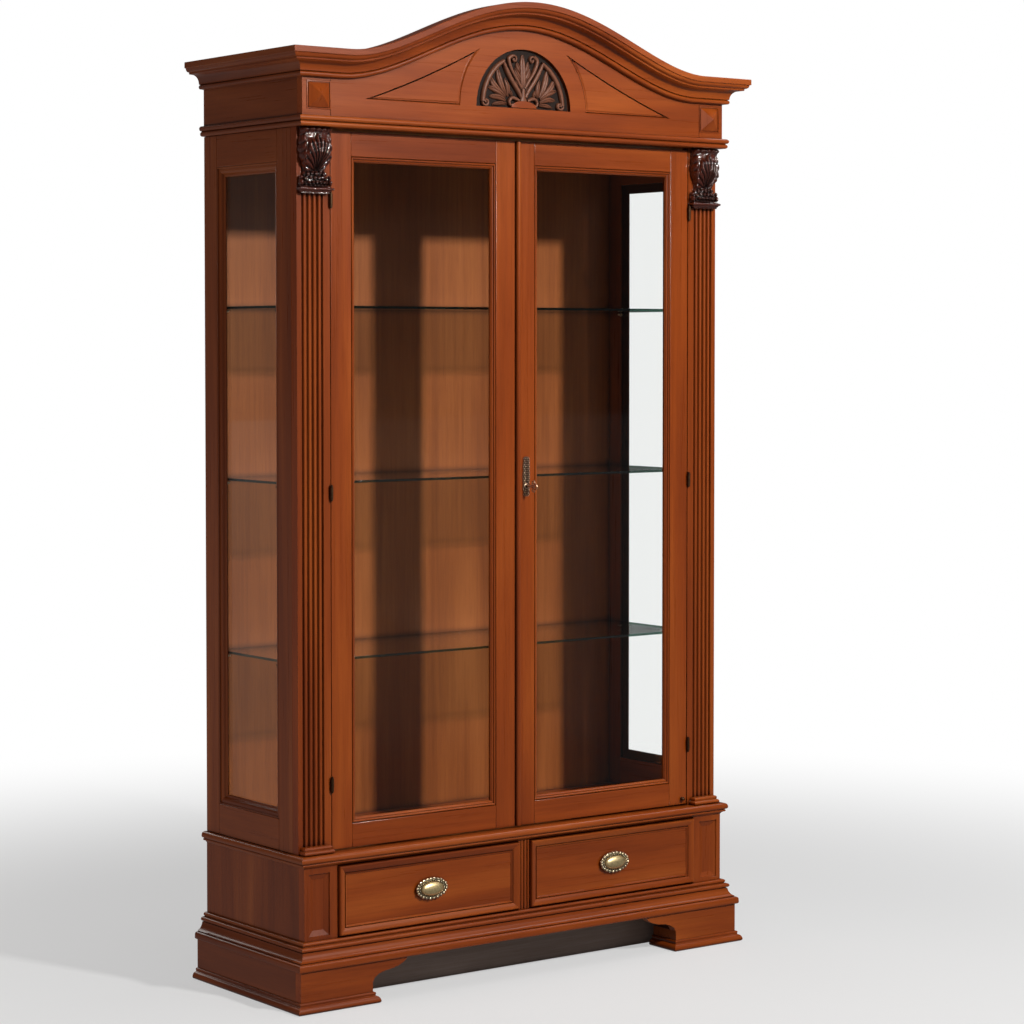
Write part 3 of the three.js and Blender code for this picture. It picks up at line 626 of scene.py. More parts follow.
def oval(centre, rx, rz, y, count, ripple=0.0, waves=0):
    """An upright oval at a depth, with waves round its edge where a ripple is given."""
    points = []
    for i in range(count):
        a = 2 * math.pi * i / count
        swell = 1 + ripple * math.cos(waves * a)
        points.append((centre[0] + rx * swell * math.cos(a), y, centre[1] + rz * swell * math.sin(a)))
    return points


# share of the width, share of the height, distance from the drawer, scallop
PULL_STEPS = [
    (0.28, 0.40, 0.0, 0.0), (0.30, 0.42, 3.0, 0.0), (0.92, 0.92, 4.5, 0.03), (0.96, 0.96, 6.5, 0.04),
    (0.88, 0.86, 8.2, 0.03), (0.80, 0.74, 7.4, 0.0), (0.76, 0.70, 7.2, 0.0),
]
PULL_BEADS = 24
PULL_PEARLS = 34
PULL_SIDES = 96
DOME_SIDES = 64


def pull(side):
    """An oval antique pull: scalloped plate, two rings of beads and a smooth raised dome."""
    node, body = f"drawer_knob_{side}", f"drawer_{side}"
    lo, hi = span(node)
    centre = ((lo.x + hi.x) / 2, (lo.z + hi.z) / 2)
    rx, rz, back = (hi.x - lo.x) / 2 - 2, (hi.z - lo.z) / 2 - 1.5, hi.y
    plate = Parts()
    plate.add_loft([
        oval(centre, rx * across, rz * up, back - out, PULL_SIDES, ripple, PULL_BEADS)
        for across, up, out, ripple in PULL_STEPS
    ])
    for i in range(PULL_BEADS):
        turn = 2 * math.pi * (i + 0.5) / PULL_BEADS
        size = 3.5 if i % 2 else 2.7
        spot = (centre[0] + rx * 0.93 * math.cos(turn), back - 7.6, centre[1] + rz * 0.92 * math.sin(turn))
        plate.add_ball(spot, (size, size * 0.9, size))
    for i in range(PULL_PEARLS):
        turn = 2 * math.pi * i / PULL_PEARLS
        spot = (centre[0] + rx * 0.785 * math.cos(turn), back - 8.2, centre[1] + rz * 0.73 * math.sin(turn))
        plate.add_ball(spot, (1.7, 1.5, 1.7), 6, 8)
    plate.build(f"pull_plate_{side}", BRASS, body=body, replaces=node, crease=60)
    steps = [(0.70, 0.64, 6.8), (0.72, 0.66, 9.5)]
    for i in range(1, 10):
        tilt = math.radians(9.5 * i)
        steps.append((0.70 * math.cos(tilt), 0.64 * math.cos(tilt), 10 + 8.5 * math.sin(tilt)))
    dome = [oval(centre, rx * across, rz * up, back - out, DOME_SIDES) for across, up, out in steps]
    loft(f"pull_dome_{side}", dome, DOME_BRASS, body=body, crease=60)


drawer_stile()
for side, _ in SIDES:
    drawer(side)
    pull(side)

# ---------------------------------------------------------------- glazed sides
SIDE_BEAD = [
    (0, 13), (0, 1), *arc((1.6, 1), (1.6, 1.0), 180, 360, 4), (3.6, 3.4), (4.8, 3.6),
    *bend((4.8, 3.6), (13, 2.2), (15.5, 8), 8), (17, 9.4), (18.5, 9.4),
    *bend((18.5, 9.4), (21, 9.4), (22, 11.4), 4), (22, 13),
]


def side_panel(side, sign):
    """Two stiles, two rails and a mitred glazing bead."""
    node, gap = f"side_frame_{side}", 0.3
    lo, hi = span(node)
    inner_lo, inner_hi = span(f"side_bead_{side}")
    x, rail = (lo.x, hi.x), (inner_lo.y - 0.2, inner_hi.y + 0.2)
    board(f"side_stile_front_{side}", x, (lo.y, inner_lo.y - gap), (lo.z, hi.z), SIDE_Z, replaces=node)
    board(f"side_stile_rear_{side}", x, (inner_hi.y + gap, hi.y), (lo.z, hi.z), SIDE_Z)
    board(f"side_rail_head_{side}", x, rail, (inner_hi.z + gap, hi.z), SIDE_Y)
    board(f"side_rail_foot_{side}", x, rail, (lo.z, inner_lo.z - gap), SIDE_Y)
    mitred_frame([f"side_bead_{edge}_{side}" for edge in ("foot", "rear", "head", "front")],
                 (inner_lo.y, inner_hi.y), (inner_lo.z, inner_hi.z), SIDE_BEAD,
                 lambda y, z, depth: (sign * (HALF - depth), y, z), (SIDE_Y, SIDE_Z),
                 replaces=f"side_bead_{side}")


PANE_THICKNESS = 4


def pane(name, node, body, facing, sign, bevel_width, drop):
    """A pane with a wide shallow bevel on its outer face, which loses the drop in thickness at the edge."""
    lo, hi = span(node)
    inner, outer = (hi.y, lo.y) if facing == "y" else (lo.x, hi.x) if sign > 0 else (hi.x, lo.x)
    width = (lo.x, hi.x) if facing == "y" else (lo.y, hi.y)
    rings = []
    for inset, share in ((0.3, 0.0), (0.3, 1 - drop / PANE_THICKNESS), (bevel_width, 1.0)):
        depth = inner + (outer - inner) * share
        corners = rectangle(width, (lo.z, hi.z), inset)
        rings.append([(u, depth, z) if facing == "y" else (depth, u, z) for u, z in corners])
    loft(name, rings, PANE, body=body, replaces=node, crease=1)


for side, sign in SIDES:
    side_panel(side, sign)
    pane(f"side_pane_{side}", f"side_glass_{side}", "case", "x", sign, 16.0, 1.4)

# ---------------------------------------------------------------- shelves on brass pins
PIN_INSET = 45
PIN_BELOW = 4.9
# radius, distance from the case's inner face towards the outside
PIN_STATIONS = [(2.4, 6), (2.4, -0.4), (4.6, -0.6), (4.6, -2.2), (2.6, -3), (2.6, -8.2), (1.6, -9)]


def shelf(node):
    """A glass plate with greener edges, on two pins at each end."""
    lo, hi = span(node)
    plate = board(f"{node}_plate", (lo.x, hi.x), (lo.y, hi.y), (lo.z, hi.z), SHELF, bevel=0, replaces=node)
    plate.data.materials.append(SHELF_EDGE)
    for polygon in plate.data.polygons:
        polygon.material_index = 0 if abs(polygon.normal.z) > 0.5 else 1
    soften(plate, 0.6)
    for side, sign in SIDES:
        pins = Parts()
        stations = [(radius, sign * (HALF - BOARD + out)) for radius, out in PIN_STATIONS]
        for y in (lo.y + PIN_INSET, hi.y - PIN_INSET):
            pins.add_loft(turned((0, y, lo.z - PIN_BELOW), "x", stations, 16))
        pins.build(f"shelf_pins_{node[-1]}_{side}", BRASS)


for node in sorted(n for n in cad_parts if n.startswith("glass_shelf")):
    shelf(node)

# ---------------------------------------------------------------- pilasters
REEDS = 4
REED_ZONE = 51.0
REED_GROOVE = 4.8
REED_DEPTH = 5.2
REED_OFFSET = 3  # the reeded band sits a little outside the pilaster's centre line


def pilaster(side, sign):
    """A board with four reeds between fine dark grooves."""
    node = f"pilaster_{side}"
    lo, hi = span(node)
    pitch = REED_ZONE / REEDS
    first = (PILASTER_INNER + HALF) / 2 + REED_OFFSET - REED_ZONE / 2
    end = first + REED_ZONE
    half, face, floor = REED_GROOVE / 2, lo.y, lo.y + REED_DEPTH
    plan = [(PILASTER_INNER, hi.y), (PILASTER_INNER, face), (first - half - 0.6, face),
            (first - half, face + 0.8)]
    for reed in range(REEDS):
        start = first + reed * pitch
        plan += [(start - 0.9, floor), (start + 0.9, floor)]
        plan += arc((start + pitch / 2, face + 3.4), ((pitch - REED_GROOVE) / 2, 4.2), 180, 360, 10, first=0)
    plan += [(end - 0.9, floor), (end + 0.9, floor), (end + half, face + 0.8), (end + half + 0.6, face),
             (HALF, face), (HALF, hi.y)]
    upright(f"pilaster_board_{side}", [(sign * x, y) for x, y in plan], (lo.z, hi.z), WOOD_Z, replaces=node,
            crease=25)


def pilaster_base(side):
    """A moulded block at the pilaster's foot, returned on both sides."""
    node = f"pilaster_base_{side}"
    lo, hi = span(node)
    steps = [
        (5.2, 0), *bend((5.2, 0), (-0.6, 0.5), (0.4, 5), 5), *bend((0.4, 5), (1.4, 8.8), (5.4, 9.2), 5),
        (6.4, 9.8), (6.4, 11), *bend((6.4, 11), (4.4, 13.5), (6.6, 15.6), 5), (8, hi.z - lo.z),
    ]
    rings = []
    for inset, z in raised(steps, lo.z):
        x0, x1, y = lo.x + inset * 0.7 - 2, hi.x - inset * 0.7 + 2, lo.y + inset
        rings.append([(x0, hi.y, z), (x0, y, z), (x1, y, z), (x1, hi.y, z)])
    loft(f"pilaster_block_{side}", rings, WOOD_X, replaces=node, crease=28)


# ---------------------------------------------------------------- corbels
# place up the corbel, and its reach from the wall or its half width there
CORBEL_REACH = [(0, 13), (0.08, 16), (0.25, 11), (0.58, 31), (0.70, 31), (0.86, 25), (0.94, 23), (1.0, 26)]
CORBEL_HALF = [(0, 31), (0.1, 33), (0.26, 29), (0.62, 40), (0.84, 38), (0.92, 36), (1.0, 38)]
CORBEL_ROWS = 170
CORBEL_COLUMNS = 100
# small leaves at the foot: place across, place up, half width, half height
FOLIAGE = [
    (0.00, 0.215, 0.16, 0.045), (0.34, 0.225, 0.14, 0.036), (0.66, 0.20, 0.13, 0.04),
    (0.93, 0.215, 0.11, 0.035), (0.17, 0.140, 0.13, 0.034), (0.48, 0.145, 0.13, 0.036),
    (0.78, 0.125, 0.13, 0.034), (0.0, 0.075, 0.14, 0.032), (0.30, 0.070, 0.13, 0.030),
    (0.60, 0.065, 0.13, 0.030), (0.90, 0.055, 0.11, 0.030), (0.15, 0.015, 0.13, 0.022),
    (0.46, 0.012, 0.13, 0.022), (0.78, 0.010, 0.12, 0.022),
]
ABACUS = [
    (6, -6.5), (6.6, -4), (3.4, -1.5), (3.2, 0), (1.2, 0.6), *arc((1.2, 3.4), (2.6, 2.8), -90, -250, 8),
    (1.2, 6.4), (3.6, 7), (5, 9),
]


def corbel_relief(t, u):
    """Height of the carving above the corbel's body, for t up the corbel and u across it."""
    across = abs(u)
    turn = math.atan2(across * 0.62, t - 0.2)
    length = math.hypot(across * 0.62, t - 0.2)
    edge = 0.68 + 0.04 * math.cos(turn * 11) - 0.06 * turn
    leaf = smooth_step(edge + 0.02, edge - 0.05, length)
    veins = abs(math.sin(turn * 12.5 + 0.4 * math.sin(length * 9))) ** 0.55
    midrib = 3.0 * math.exp(-((across * 18) ** 2))
    fan = leaf * (1.0 + 6.5 * veins * smooth_step(0.0, 0.2, length)) + leaf * midrib
    lobes = abs(math.cos(across * math.pi * 2.5)) ** 0.5
    notches = 0.75 + 0.25 * abs(math.cos(across * math.pi * 7.5 + t * 26))
    curl = math.exp(-(((t - 0.955) / 0.035) ** 2)) + 0.5 * math.exp(-(((t - 0.89) / 0.03) ** 2)) * (1 - lobes)
    head = 9.0 * curl * (0.05 + 0.95 * lobes) * notches
    ripple = 8.0 * abs(math.cos(t * math.pi * 7 + across * 5)) ** 0.7 * smooth_step(0.7, 0.88, across)
    upper = fan * smooth_step(0.94, 0.88, t) + head + ripple * smooth_step(0.28, 0.4, t)
    lower = 0.0
    for place, height, half_width, half_height in FOLIAGE:
        spread = ((across - place) / half_width) ** 2 + ((t - height) / half_height) ** 2
        if spread < 1:
            hollow = 3.5 * math.exp(-spread * 9)
            lower = max(lower, 9.5 * (1 - spread) ** 0.5 - hollow)
    return upper * smooth_step(0.2, 0.3, t) + lower - 4.0


def corbel_carving(node, side, sign, foot):
    """The console itself: acanthus fan, curled scalloped head and a knot of foliage."""
    hi = high(node)
    middle = (PILASTER_INNER + HALF) / 2 + 0.4
    vertices, faces = [], []
    for t in spaced(0, 1, CORBEL_ROWS):
        half_width = piecewise(CORBEL_HALF, t)
        reach = piecewise(CORBEL_REACH, t)
        scallop = 5.0 * smooth_step(0.88, 1.0, t)
        for u in spaced(-1, 1, CORBEL_COLUMNS):
            round_off = (1 - abs(u) ** 2.6) ** 0.5 if abs(u) < 1 else 0.0
            relief = corbel_relief(t, u) * (0.45 + 0.55 * round_off)
            z = foot + (hi.z - foot - 0.6) * t - scallop * (1 - abs(math.cos(u * math.pi * 2.5)))
            flare = relief * 0.6 * (1 - round_off)
            x = sign * (middle + half_width * u + (flare if u > 0 else -flare))
            vertices.append((x, hi.y - max(reach * (0.2 + 0.8 * round_off) + relief, 0.6), z))
    stride = CORBEL_COLUMNS + 1
    for r in range(CORBEL_ROWS):
        for i in range(r * stride, r * stride + CORBEL_COLUMNS):
            faces.append((i, i + 1, i + stride + 1, i + stride))
    outline = [r * stride for r in range(CORBEL_ROWS + 1)]
    outline += [CORBEL_ROWS * stride + c for c in range(1, CORBEL_COLUMNS + 1)]
    outline += [r * stride + CORBEL_COLUMNS for r in range(CORBEL_ROWS - 1, -1, -1)]
    outline += list(range(CORBEL_COLUMNS - 1, 0, -1))
    base, count = len(vertices), len(outline)
    vertices += [(vertices[i][0], hi.y, vertices[i][2]) for i in outline]
    for k in range(count):
        n = (k + 1) % count
        faces.append((outline[k], outline[n], base + n, base + k))
    faces.append(tuple(base + k for k in range(count)))
    make(f"corbel_carving_{side}", vertices, faces, CARVED, replaces=node, crease=60)


def corbel(side, sign):
    """A carved console on an abacus, with two small scrolls on each of its edges."""
    node = f"corbel_{side}"
    lo, hi = span(node)
    top = lo.z + ABACUS[-1][1]
    corbel_carving(node, side, sign, top)
    rings = []
    for inset, z in raised(ABACUS, lo.z):
        x0, x1 = sign * (PILASTER_INNER + 1.5 + inset), sign * (HALF - 0.5 - inset * 0.8)
        y = FRONT + 6 + inset
        rings.append([(x0, hi.y, z), (x0, y, z), (x1, y, z), (x1, hi.y, z)])
    loft(f"corbel_abacus_{side}", rings, CARVED, crease=40)
    scrolls = Parts()
    for x in (sign * (PILASTER_INNER + 6), sign * (HALF - 6)):
        scrolls.add_ball((x, hi.y - 9, top + 8), (4.6, 8, 7), 10, 16)
        scrolls.add_ball((x, hi.y - 7, top + 19), (3.6, 6.5, 5), 10, 16)
    scrolls.build(f"corbel_scrolls_{side}", CARVED, crease=60)


for side, sign in SIDES:
    pilaster(side, sign)
    pilaster_base(side)
    corbel(side, sign)


# ---------------------------------------------------------------- frieze bead and crown
def bead_profile():
    """Two reeds, one above the other."""
    middle = (UPPER_TOP + FRIEZE_BOTTOM) / 2
    return [
        (-50, UPPER_TOP), (1.5, UPPER_TOP), *arc((4.5, UPPER_TOP + 5.4), 5.4, -110, 60, 10),
        (5.6, middle - 0.2), *arc((6.4, middle + 5.4), 5.9, -75, 80, 12), (5.2, FRIEZE_BOTTOM - 0.6),
        (1, FRIEZE_BOTTOM), (-50, FRIEZE_BOTTOM),
    ]


def crown_profile():
    """Points are (outward, depth below the crown's upper edge)."""
    over, foot = CROWN_OVERHANG, CROWN_HEIGHT
    return [
        (0.3, 0), (over - 1, 0), (over, 1), (over, 12.8), (over - 0.6, 13.5), (over - 3, 14),
        (over - 3.4, 15), *bend((over - 3.4, 15), (over - 3.6, 21.5), (over - 10.5, 22.6), 8),
        (over - 11.8, 23), (over - 12, 26.4), (over - 13, 27), (over - 23, 27.6),
        *bend((over - 23, 27.6), (13.5, 31.5), (12.5, foot - 12), 12), (11, foot - 11.4),
        (9, foot - 11.2), *arc((8.4, foot - 5.6), (4.6, 5), -60, 66, 9, first=0),
        (3, foot - 0.4), (0.3, foot),
    ]


CROWN_PROFILE = crown_profile()


def crown_line(x):
    """Height of the crown's upper edge: flat at the ends and arched in the middle."""
    t = min(abs(x) / CROWN_HALF_SPAN, 1)
    return CROWN_TOP + (CROWN_PEAK - CROWN_TOP) * (1 - t * t) ** 2


def crown_ring(x, mitre=0, y=None):
    """The crown's section square to its upper edge at x."""
    slope = math.atan(crown_line(x + 0.5) - crown_line(x - 0.5))
    return [
        (x + mitre * out + math.sin(slope) * depth, FRONT - out if y is None else y,
         crown_line(x) - math.cos(slope) * depth)
        for out, depth in CROWN_PROFILE
    ]


three_sides("frieze_reeding", bead_profile(), "frieze_bead")
arch = [crown_ring(x) for x in spaced(-CROWN_HALF_SPAN, CROWN_HALF_SPAN, 90)]
loft("crown_front", [crown_ring(-HALF, -1), *arch, crown_ring(HALF, 1)], WOOD_X,
     replaces="crown_moulding", crease=26)
for side, sign in SIDES:
    loft(f"crown_{side}", [crown_ring(sign * HALF, sign, REAR), crown_ring(sign * HALF, sign)], SIDE_Y,
         crease=26)


# ---------------------------------------------------------------- lunette carving
def strip(parts, points, widths, height=5.0):
    """A rounded ribbon of relief along points in the lunette's plane, tapering through the widths."""
    rings = []
    total = len(points) - 1
    foot = RELIEF_FLOOR - 1.5
    for i, (x, z) in enumerate(points):
        ahead = points[min(i + 1, total)]
        behind = points[max(i - 1, 0)]
        dx, dz = ahead[0] - behind[0], ahead[1] - behind[1]
        length = math.hypot(dx, dz) or 1.0
        nx, nz = -dz / length, dx / length
        place = i / total * (len(widths) - 1)
        k = min(int(place), len(widths) - 2)
        half = (widths[k] + (widths[k + 1] - widths[k]) * (place - k)) / 2
        lift = height * min(1.0, 0.45 + half / 5)
        section = [(half, RELIEF_FLOOR), (half, foot)]
        for t in (40, 70, 90, 110, 140):
            turn = math.radians(t)
            section.append((math.cos(turn) * half, foot - lift * math.sin(turn) ** 0.7))
        section += [(-half, foot), (-half, RELIEF_FLOOR)]
        rings.append([(x + nx * side, y, LUNETTE_Z + z + nz * side) for side, y in section])
    parts.add_loft(rings)


def curve_points(control, steps=7):
    """A smooth open curve through the control points (Catmull-Rom)."""
    points = []
    padded = [control[0], *control, control[-1]]
    for p0, p1, p2, p3 in zip(padded, padded[1:], padded[2:], padded[3:]):
        for i in range(steps):
            t = i / steps
            points.append(tuple(
                0.5 * (2 * b + (c - a) * t + (2 * a - 5 * b + 4 * c - d) * t * t
                       + (3 * b - a - 3 * c + d) * t ** 3)
                for a, b, c, d in zip(p0, p1, p2, p3)
            ))
    points.append(control[-1])
    return points


def petal(parts, base, tip, width, height=6.5, bow=0.0):
    """One carved lobe from base to tip: a swollen teardrop with a grooved midrib."""
    (x0, z0), (x1, z1) = base, tip
    dx, dz = x1 - x0, z1 - z0
    length = math.hypot(dx, dz)
    nx, nz = -dz / length, dx / length
    rings = []
    for t in spaced(0, 1, 16):
        side = bow * math.sin(math.pi * t)
        x, z = x0 + dx * t + nx * side, z0 + dz * t + nz * side
        half = max(width / 2 * math.sin(math.pi * (0.16 + 0.82 * t)) ** 0.6 * (0.55 + 0.45 * t ** 0.5), 0.5)
        lift = height * (0.55 + 0.45 * math.sin(math.pi * min(t + 0.1, 1.0)))
        ring = []
        for u in (1.0, 0.97, 0.8, 0.55, 0.28, 0.1, 0.0, -0.1, -0.28, -0.55, -0.8, -0.97, -1.0):
            up = 0.0 if abs(u) == 1.0 else (1 - abs(u) ** 2.2) ** 0.5 * lift
            up -= 1.7 * math.exp(-((u * 6) ** 2)) if abs(u) < 0.5 else 0.0
            ring.append((x + nx * half * u, RELIEF_FLOOR - max(up, 0.0), LUNETTE_Z + z + nz * half * u))
        rings.append(ring)
    parts.add_loft(rings)


def scroll(parts, centre, radius, start, turns, width, height=6.5):
    """A spiral that winds in from its start angle, in degrees, with a round eye."""
    points = []
    for t in spaced(0, 1, 28):
        angle = math.radians(start + 360 * turns * t)
        reach = radius * (1 - 0.78 * t)
        points.append((centre[0] + reach * math.cos(angle), centre[1] + reach * math.sin(angle)))
    strip(parts, points, [width * 0.9, width, width * 0.9, width * 0.7], height)
    spot = (centre[0], RELIEF_FLOOR - height * 0.55, LUNETTE_Z + centre[1])
    parts.add_ball(spot, (radius * 0.34, height * 0.5, radius * 0.34), 8, 14)


def half_oval(rx, rz, y):
    """The upper half of an oval on the lunette's base line."""
    return [(x, y, z) for x, z in arc((0, LUNETTE_Z - 0.5), (rx, rz), 0, 180, 36, first=0)]


LUNETTE_BORDER = 21  # from the middle of the outer ribbon to the lunette's edge
LUNETTE_GAP = 2.4  # from the stained ground to the lunette's edge
BOSS_HALF_WIDTH = 36
BOSS_HEIGHT = 16
# ribbons of the right half: their widths, their height and the points they run through
RIBBONS = [
    ([10, 11, 12, 12, 8], 7.6, [(6, 24), (16, 41), (31, 60), (45, 82), (56, 102)]),
    ([8, 9, 9, 10, 11, 9], 7.0, [(5, 44), (15, 60), (27, 76), (37, 94), (40, 110), (30, 118)]),
    ([9, 9, 8, 7, 6], 7.2, [(12, 16), (30, 22), (40, 14), (36, 5), (28, 8)]),
]
# leaves of the right half: base, tip, width, height and bow
LEAVES = [
    ((48, 26), (72, 90), 20, 7.2, -4), ((42, 24), (50, 66), 17, 6.8, 3), ((56, 30), (94, 70), 19, 7.0, -5),
    ((50, 22), (98, 44), 19, 7.2, 4), ((48, 14), (94, 22), 17, 7.2, 4), ((46, 8), (86, 4), 13, 6.8, 2),
    ((30, 22), (40, 42), 11, 6.0, 1), ((1, 46), (24, 74), 17, 6.6, -3), ((1, 60), (22, 90), 17, 6.6, -3),
    ((1, 76), (17, 105), 16, 6.6, -3), ((1, 36), (16, 54), 12, 6.6, -3),
]


def lunette():
    """Pointed loops of ribbon round small leaves, a tall leaf in the middle and a plain boss at its foot."""
    rim = LUNETTE_RADIUS - LUNETTE_BORDER
    carving = Parts()
    strip(carving, arc((0, 4), rim, 3, 62, 24, first=0), [11, 12, 12, 12, 8], 7.4)
    for widths, height, control in RIBBONS:
        strip(carving, curve_points(control), widths, height)
    scroll(carving, (26, 110), 8.5, 20, 1.1, 7)
    scroll(carving, (rim - 8, 9), 9.5, 0, -1.1, 8)
    for leaf in LEAVES:
        petal(carving, *leaf)
    carving.mirror()
    petal(carving, (0, 30), (0, 121), 24, 7.6)
    strip(carving, [(0, 6), (0, 18), (0, 28), (0, 44)], [34, 22, 14, 10], 7.4)
    carving.build("lunette_carving", LUNETTE, replaces="frieze_carving", crease=50)
    boss = [half_oval(BOSS_HALF_WIDTH, BOSS_HEIGHT, RELIEF_FLOOR)]
    for share, depth in ((1.0, 1.2), (1.0, 0.3), (0.97, -0.3), (0.93, -0.5), (0.4, -0.6), (0.03, -0.6)):
        boss.append(half_oval(BOSS_HALF_WIDTH * share, BOSS_HEIGHT * share, FRONT + depth))
    loft("lunette_boss", boss, WOOD_X, crease=10)
    reach = LUNETTE_RADIUS - LUNETTE_GAP
    ground = [half_oval(reach, reach, y) for y in (FRONT + LUNETTE_DEPTH - 0.05, RELIEF_FLOOR)]
    loft("lunette_ground", ground, GROUND)


# ---------------------------------------------------------------- three-cornered fields and end blocks
SPANDREL_TIP = 434
SPANDREL_INNER = 181
SPANDREL_MARGIN = 24
SPANDREL_DEPTH = 4
PYRAMID_CENTRE = 42


def spandrel_outline():
    """The three-cornered outline between the lunette's surround and the crown."""
    top_height = crown_line(SPANDREL_INNER * 0.82) - CROWN_HEIGHT - SPANDREL_MARGIN
    arc_top = math.degrees(math.asin((top_height - LUNETTE_Z) / SPANDREL_INNER))
    points = arc((0, LUNETTE_Z), SPANDREL_INNER, 0, arc_top, 16, first=0)
    top, tip = points[-1], (SPANDREL_TIP, LUNETTE_Z)
    middle = ((top[0] + tip[0]) / 2, (top[1] + tip[1]) / 2 - 14)
    return points + bend(top, middle, tip, 20)


def shrink(outline, distance):
    """The outline moved by a distance to its right as it runs, its corners kept sharp."""
    shrunk = []
    count = len(outline)
    for i, point in enumerate(outline):
        before = (Vector(point) - Vector(outline[i - 1])).normalized()
        after = (Vector(outline[(i + 1) % count]) - Vector(point)).normalized()
        normal = Vector((before.y + after.y, -before.x - after.x)).normalized()
        share = max(normal.dot(Vector((before.y, -before.x))), 0.25)
        shrunk.append(tuple(Vector(point) + normal * distance / share))
    return shrunk


def spandrel(side, sign):
    """The field inside the cut outline, which leaves a narrow groove round it."""
    outline = spandrel_outline()
    area = sum(p[0] * q[1] - q[0] * p[1] for p, q in zip(outline, outline[1:] + outline[:1]))
    inwards = 1 if area < 0 else -1
    rings = []
    for inset, depth in ((0.3, SPANDREL_DEPTH - 0.1), (0.3, 1.8), (2.4, 1.8), (4.8, 0.3)):
        rings.append([(sign * x, FRONT + depth, z) for x, z in shrink(outline, inwards * inset)])
    loft(f"spandrel_field_{side}", rings, WOOD_X, crease=15)


def pyramid(side, sign):
    """A square diamond-point block in a narrow frame."""
    x, z = sign * (HALF - PYRAMID_CENTRE), LUNETTE_Z

    def squares(*steps):
        return [[(u, FRONT + y, v) for u, v in rectangle((x, x), (z, z), -reach)] for reach, y in steps]

    loft(f"pyramid_frame_{side}", squares((31, 0.2), (30.4, -1.4), (28.6, -1.6), (28.0, 0.2)), WOOD_X,
         closed=True, crease=20)
    loft(f"pyramid_block_{side}", squares((26.6, 0.2), (26.6, -1.6), (0.3, -17.0)), WOOD_Z, crease=10)


lunette()
for side, sign in SIDES:
    spandrel(side, sign)
    pyramid(side, sign)

# ---------------------------------------------------------------- doors
GLAZING_WIDTH = 12.0
GLAZING_LAP = 5.7
GLAZING = [
    (0, 8.9), (0, 3.6), (0.9, 3.4), *arc((3.2, 2.6), (2.3, 2.9), 180, 360, 9, first=0), (5.7, 3.6),
    (6.2, 3.8), *bend((6.2, 3.2), (10.0, 2.8), (10.8, 6.8), 6), (12, 7.6), (12, 8.9),
]
GLASS_STRIP = [(0, -8.2), (0, -0.2), (5, -0.2), (5, -8.2)]


def door(side, sign):
    """Stiles run the full height, rails sit between them, and a mitred moulding holds the pane."""
    node, body = f"door_frame_{side}", f"door_{side}"
    lo, hi = span(node)
    bar = low(f"door_glass_{side}").x - lo.x + GLAZING_LAP - GLAZING_WIDTH
    left, right = (lo.x, lo.x + bar), (hi.x - bar, hi.x)
    outer, inner = (left, right) if sign < 0 else (right, left)
    y, z, rail = (lo.y, hi.y), (lo.z, hi.z), (lo.x + bar - 0.1, hi.x - bar + 0.1)
    board(f"door_stile_outer_{side}", outer, y, z, WOOD_Z, body=body, replaces=node)
    board(f"door_stile_inner_{side}", inner, y, z, WOOD_Z, body=body)
    board(f"door_rail_head_{side}", rail, y, (hi.z - bar, hi.z), WOOD_X, body=body)
    board(f"door_rail_foot_{side}", rail, y, (lo.z, lo.z + bar), WOOD_X, body=body)
    for name, profile, plane in (("glazing", GLAZING, lo.y), ("glass_strip", GLASS_STRIP, hi.y)):
        mitred_frame([f"door_{name}_{edge}_{side}" for edge in ("foot", "right", "head", "left")],
                     (left[1], right[0]), (lo.z + bar, hi.z - bar), profile,
                     lambda u, v, depth: (u, plane + depth, v), (WOOD_X, WOOD_Z), body=body, crease=25)
    pane(f"door_pane_{side}", f"door_glass_{side}", body, "y", sign, 26.0, 0.8)


def meeting_bead():
    """The half-round bead down the right door's inner edge."""
    lo, hi = span("door_astragal")
    centre, radii = ((lo.x + hi.x) / 2, hi.y), ((hi.x - lo.x) / 2, hi.y - lo.y)
    upright("meeting_bead", arc(centre, radii, 0, -180, 12, first=0), (lo.z, hi.z), WOOD_Z, body="door_right",
            replaces="door_astragal", crease=40)


# ---------------------------------------------------------------- hinges, escutcheon, key and screws
def hinge(side, sign, level):
    """A turned barrel with a ball finial at each end, and the leaf let into the pilaster."""
    node = f"hinge_{side}_{level}"
    lo, hi = span(node)
    centre = (sign * PILASTER_INNER, lo.y + 4, (lo.z + hi.z) / 2)
    half = (hi.z - lo.z) / 2
    upper = [(3.3, 0.3), (3.8, 0.5), (3.8, half - 0.4), (1.8, half), (2.6, half + 0.8), (2.6, half + 2.6),
             (1.2, half + 3.4)]
    parts = Parts()
    parts.add_loft(turned(centre, "z", [(radius, -place) for radius, place in reversed(upper)] + upper))
    leaf_x = sorted((sign * (PILASTER_INNER - 0.3), sign * (PILASTER_INNER - 1.0)))
    parts.add_box(leaf_x, (lo.y + 4, hi.y), (lo.z + 1, hi.z - 1))
    parts.build(f"hinge_barrel_{side}_{level}", IRON, replaces=node, crease=40)


ESCUTCHEON_WIDENING = 1.5
ESCUTCHEON_ROWS = 19


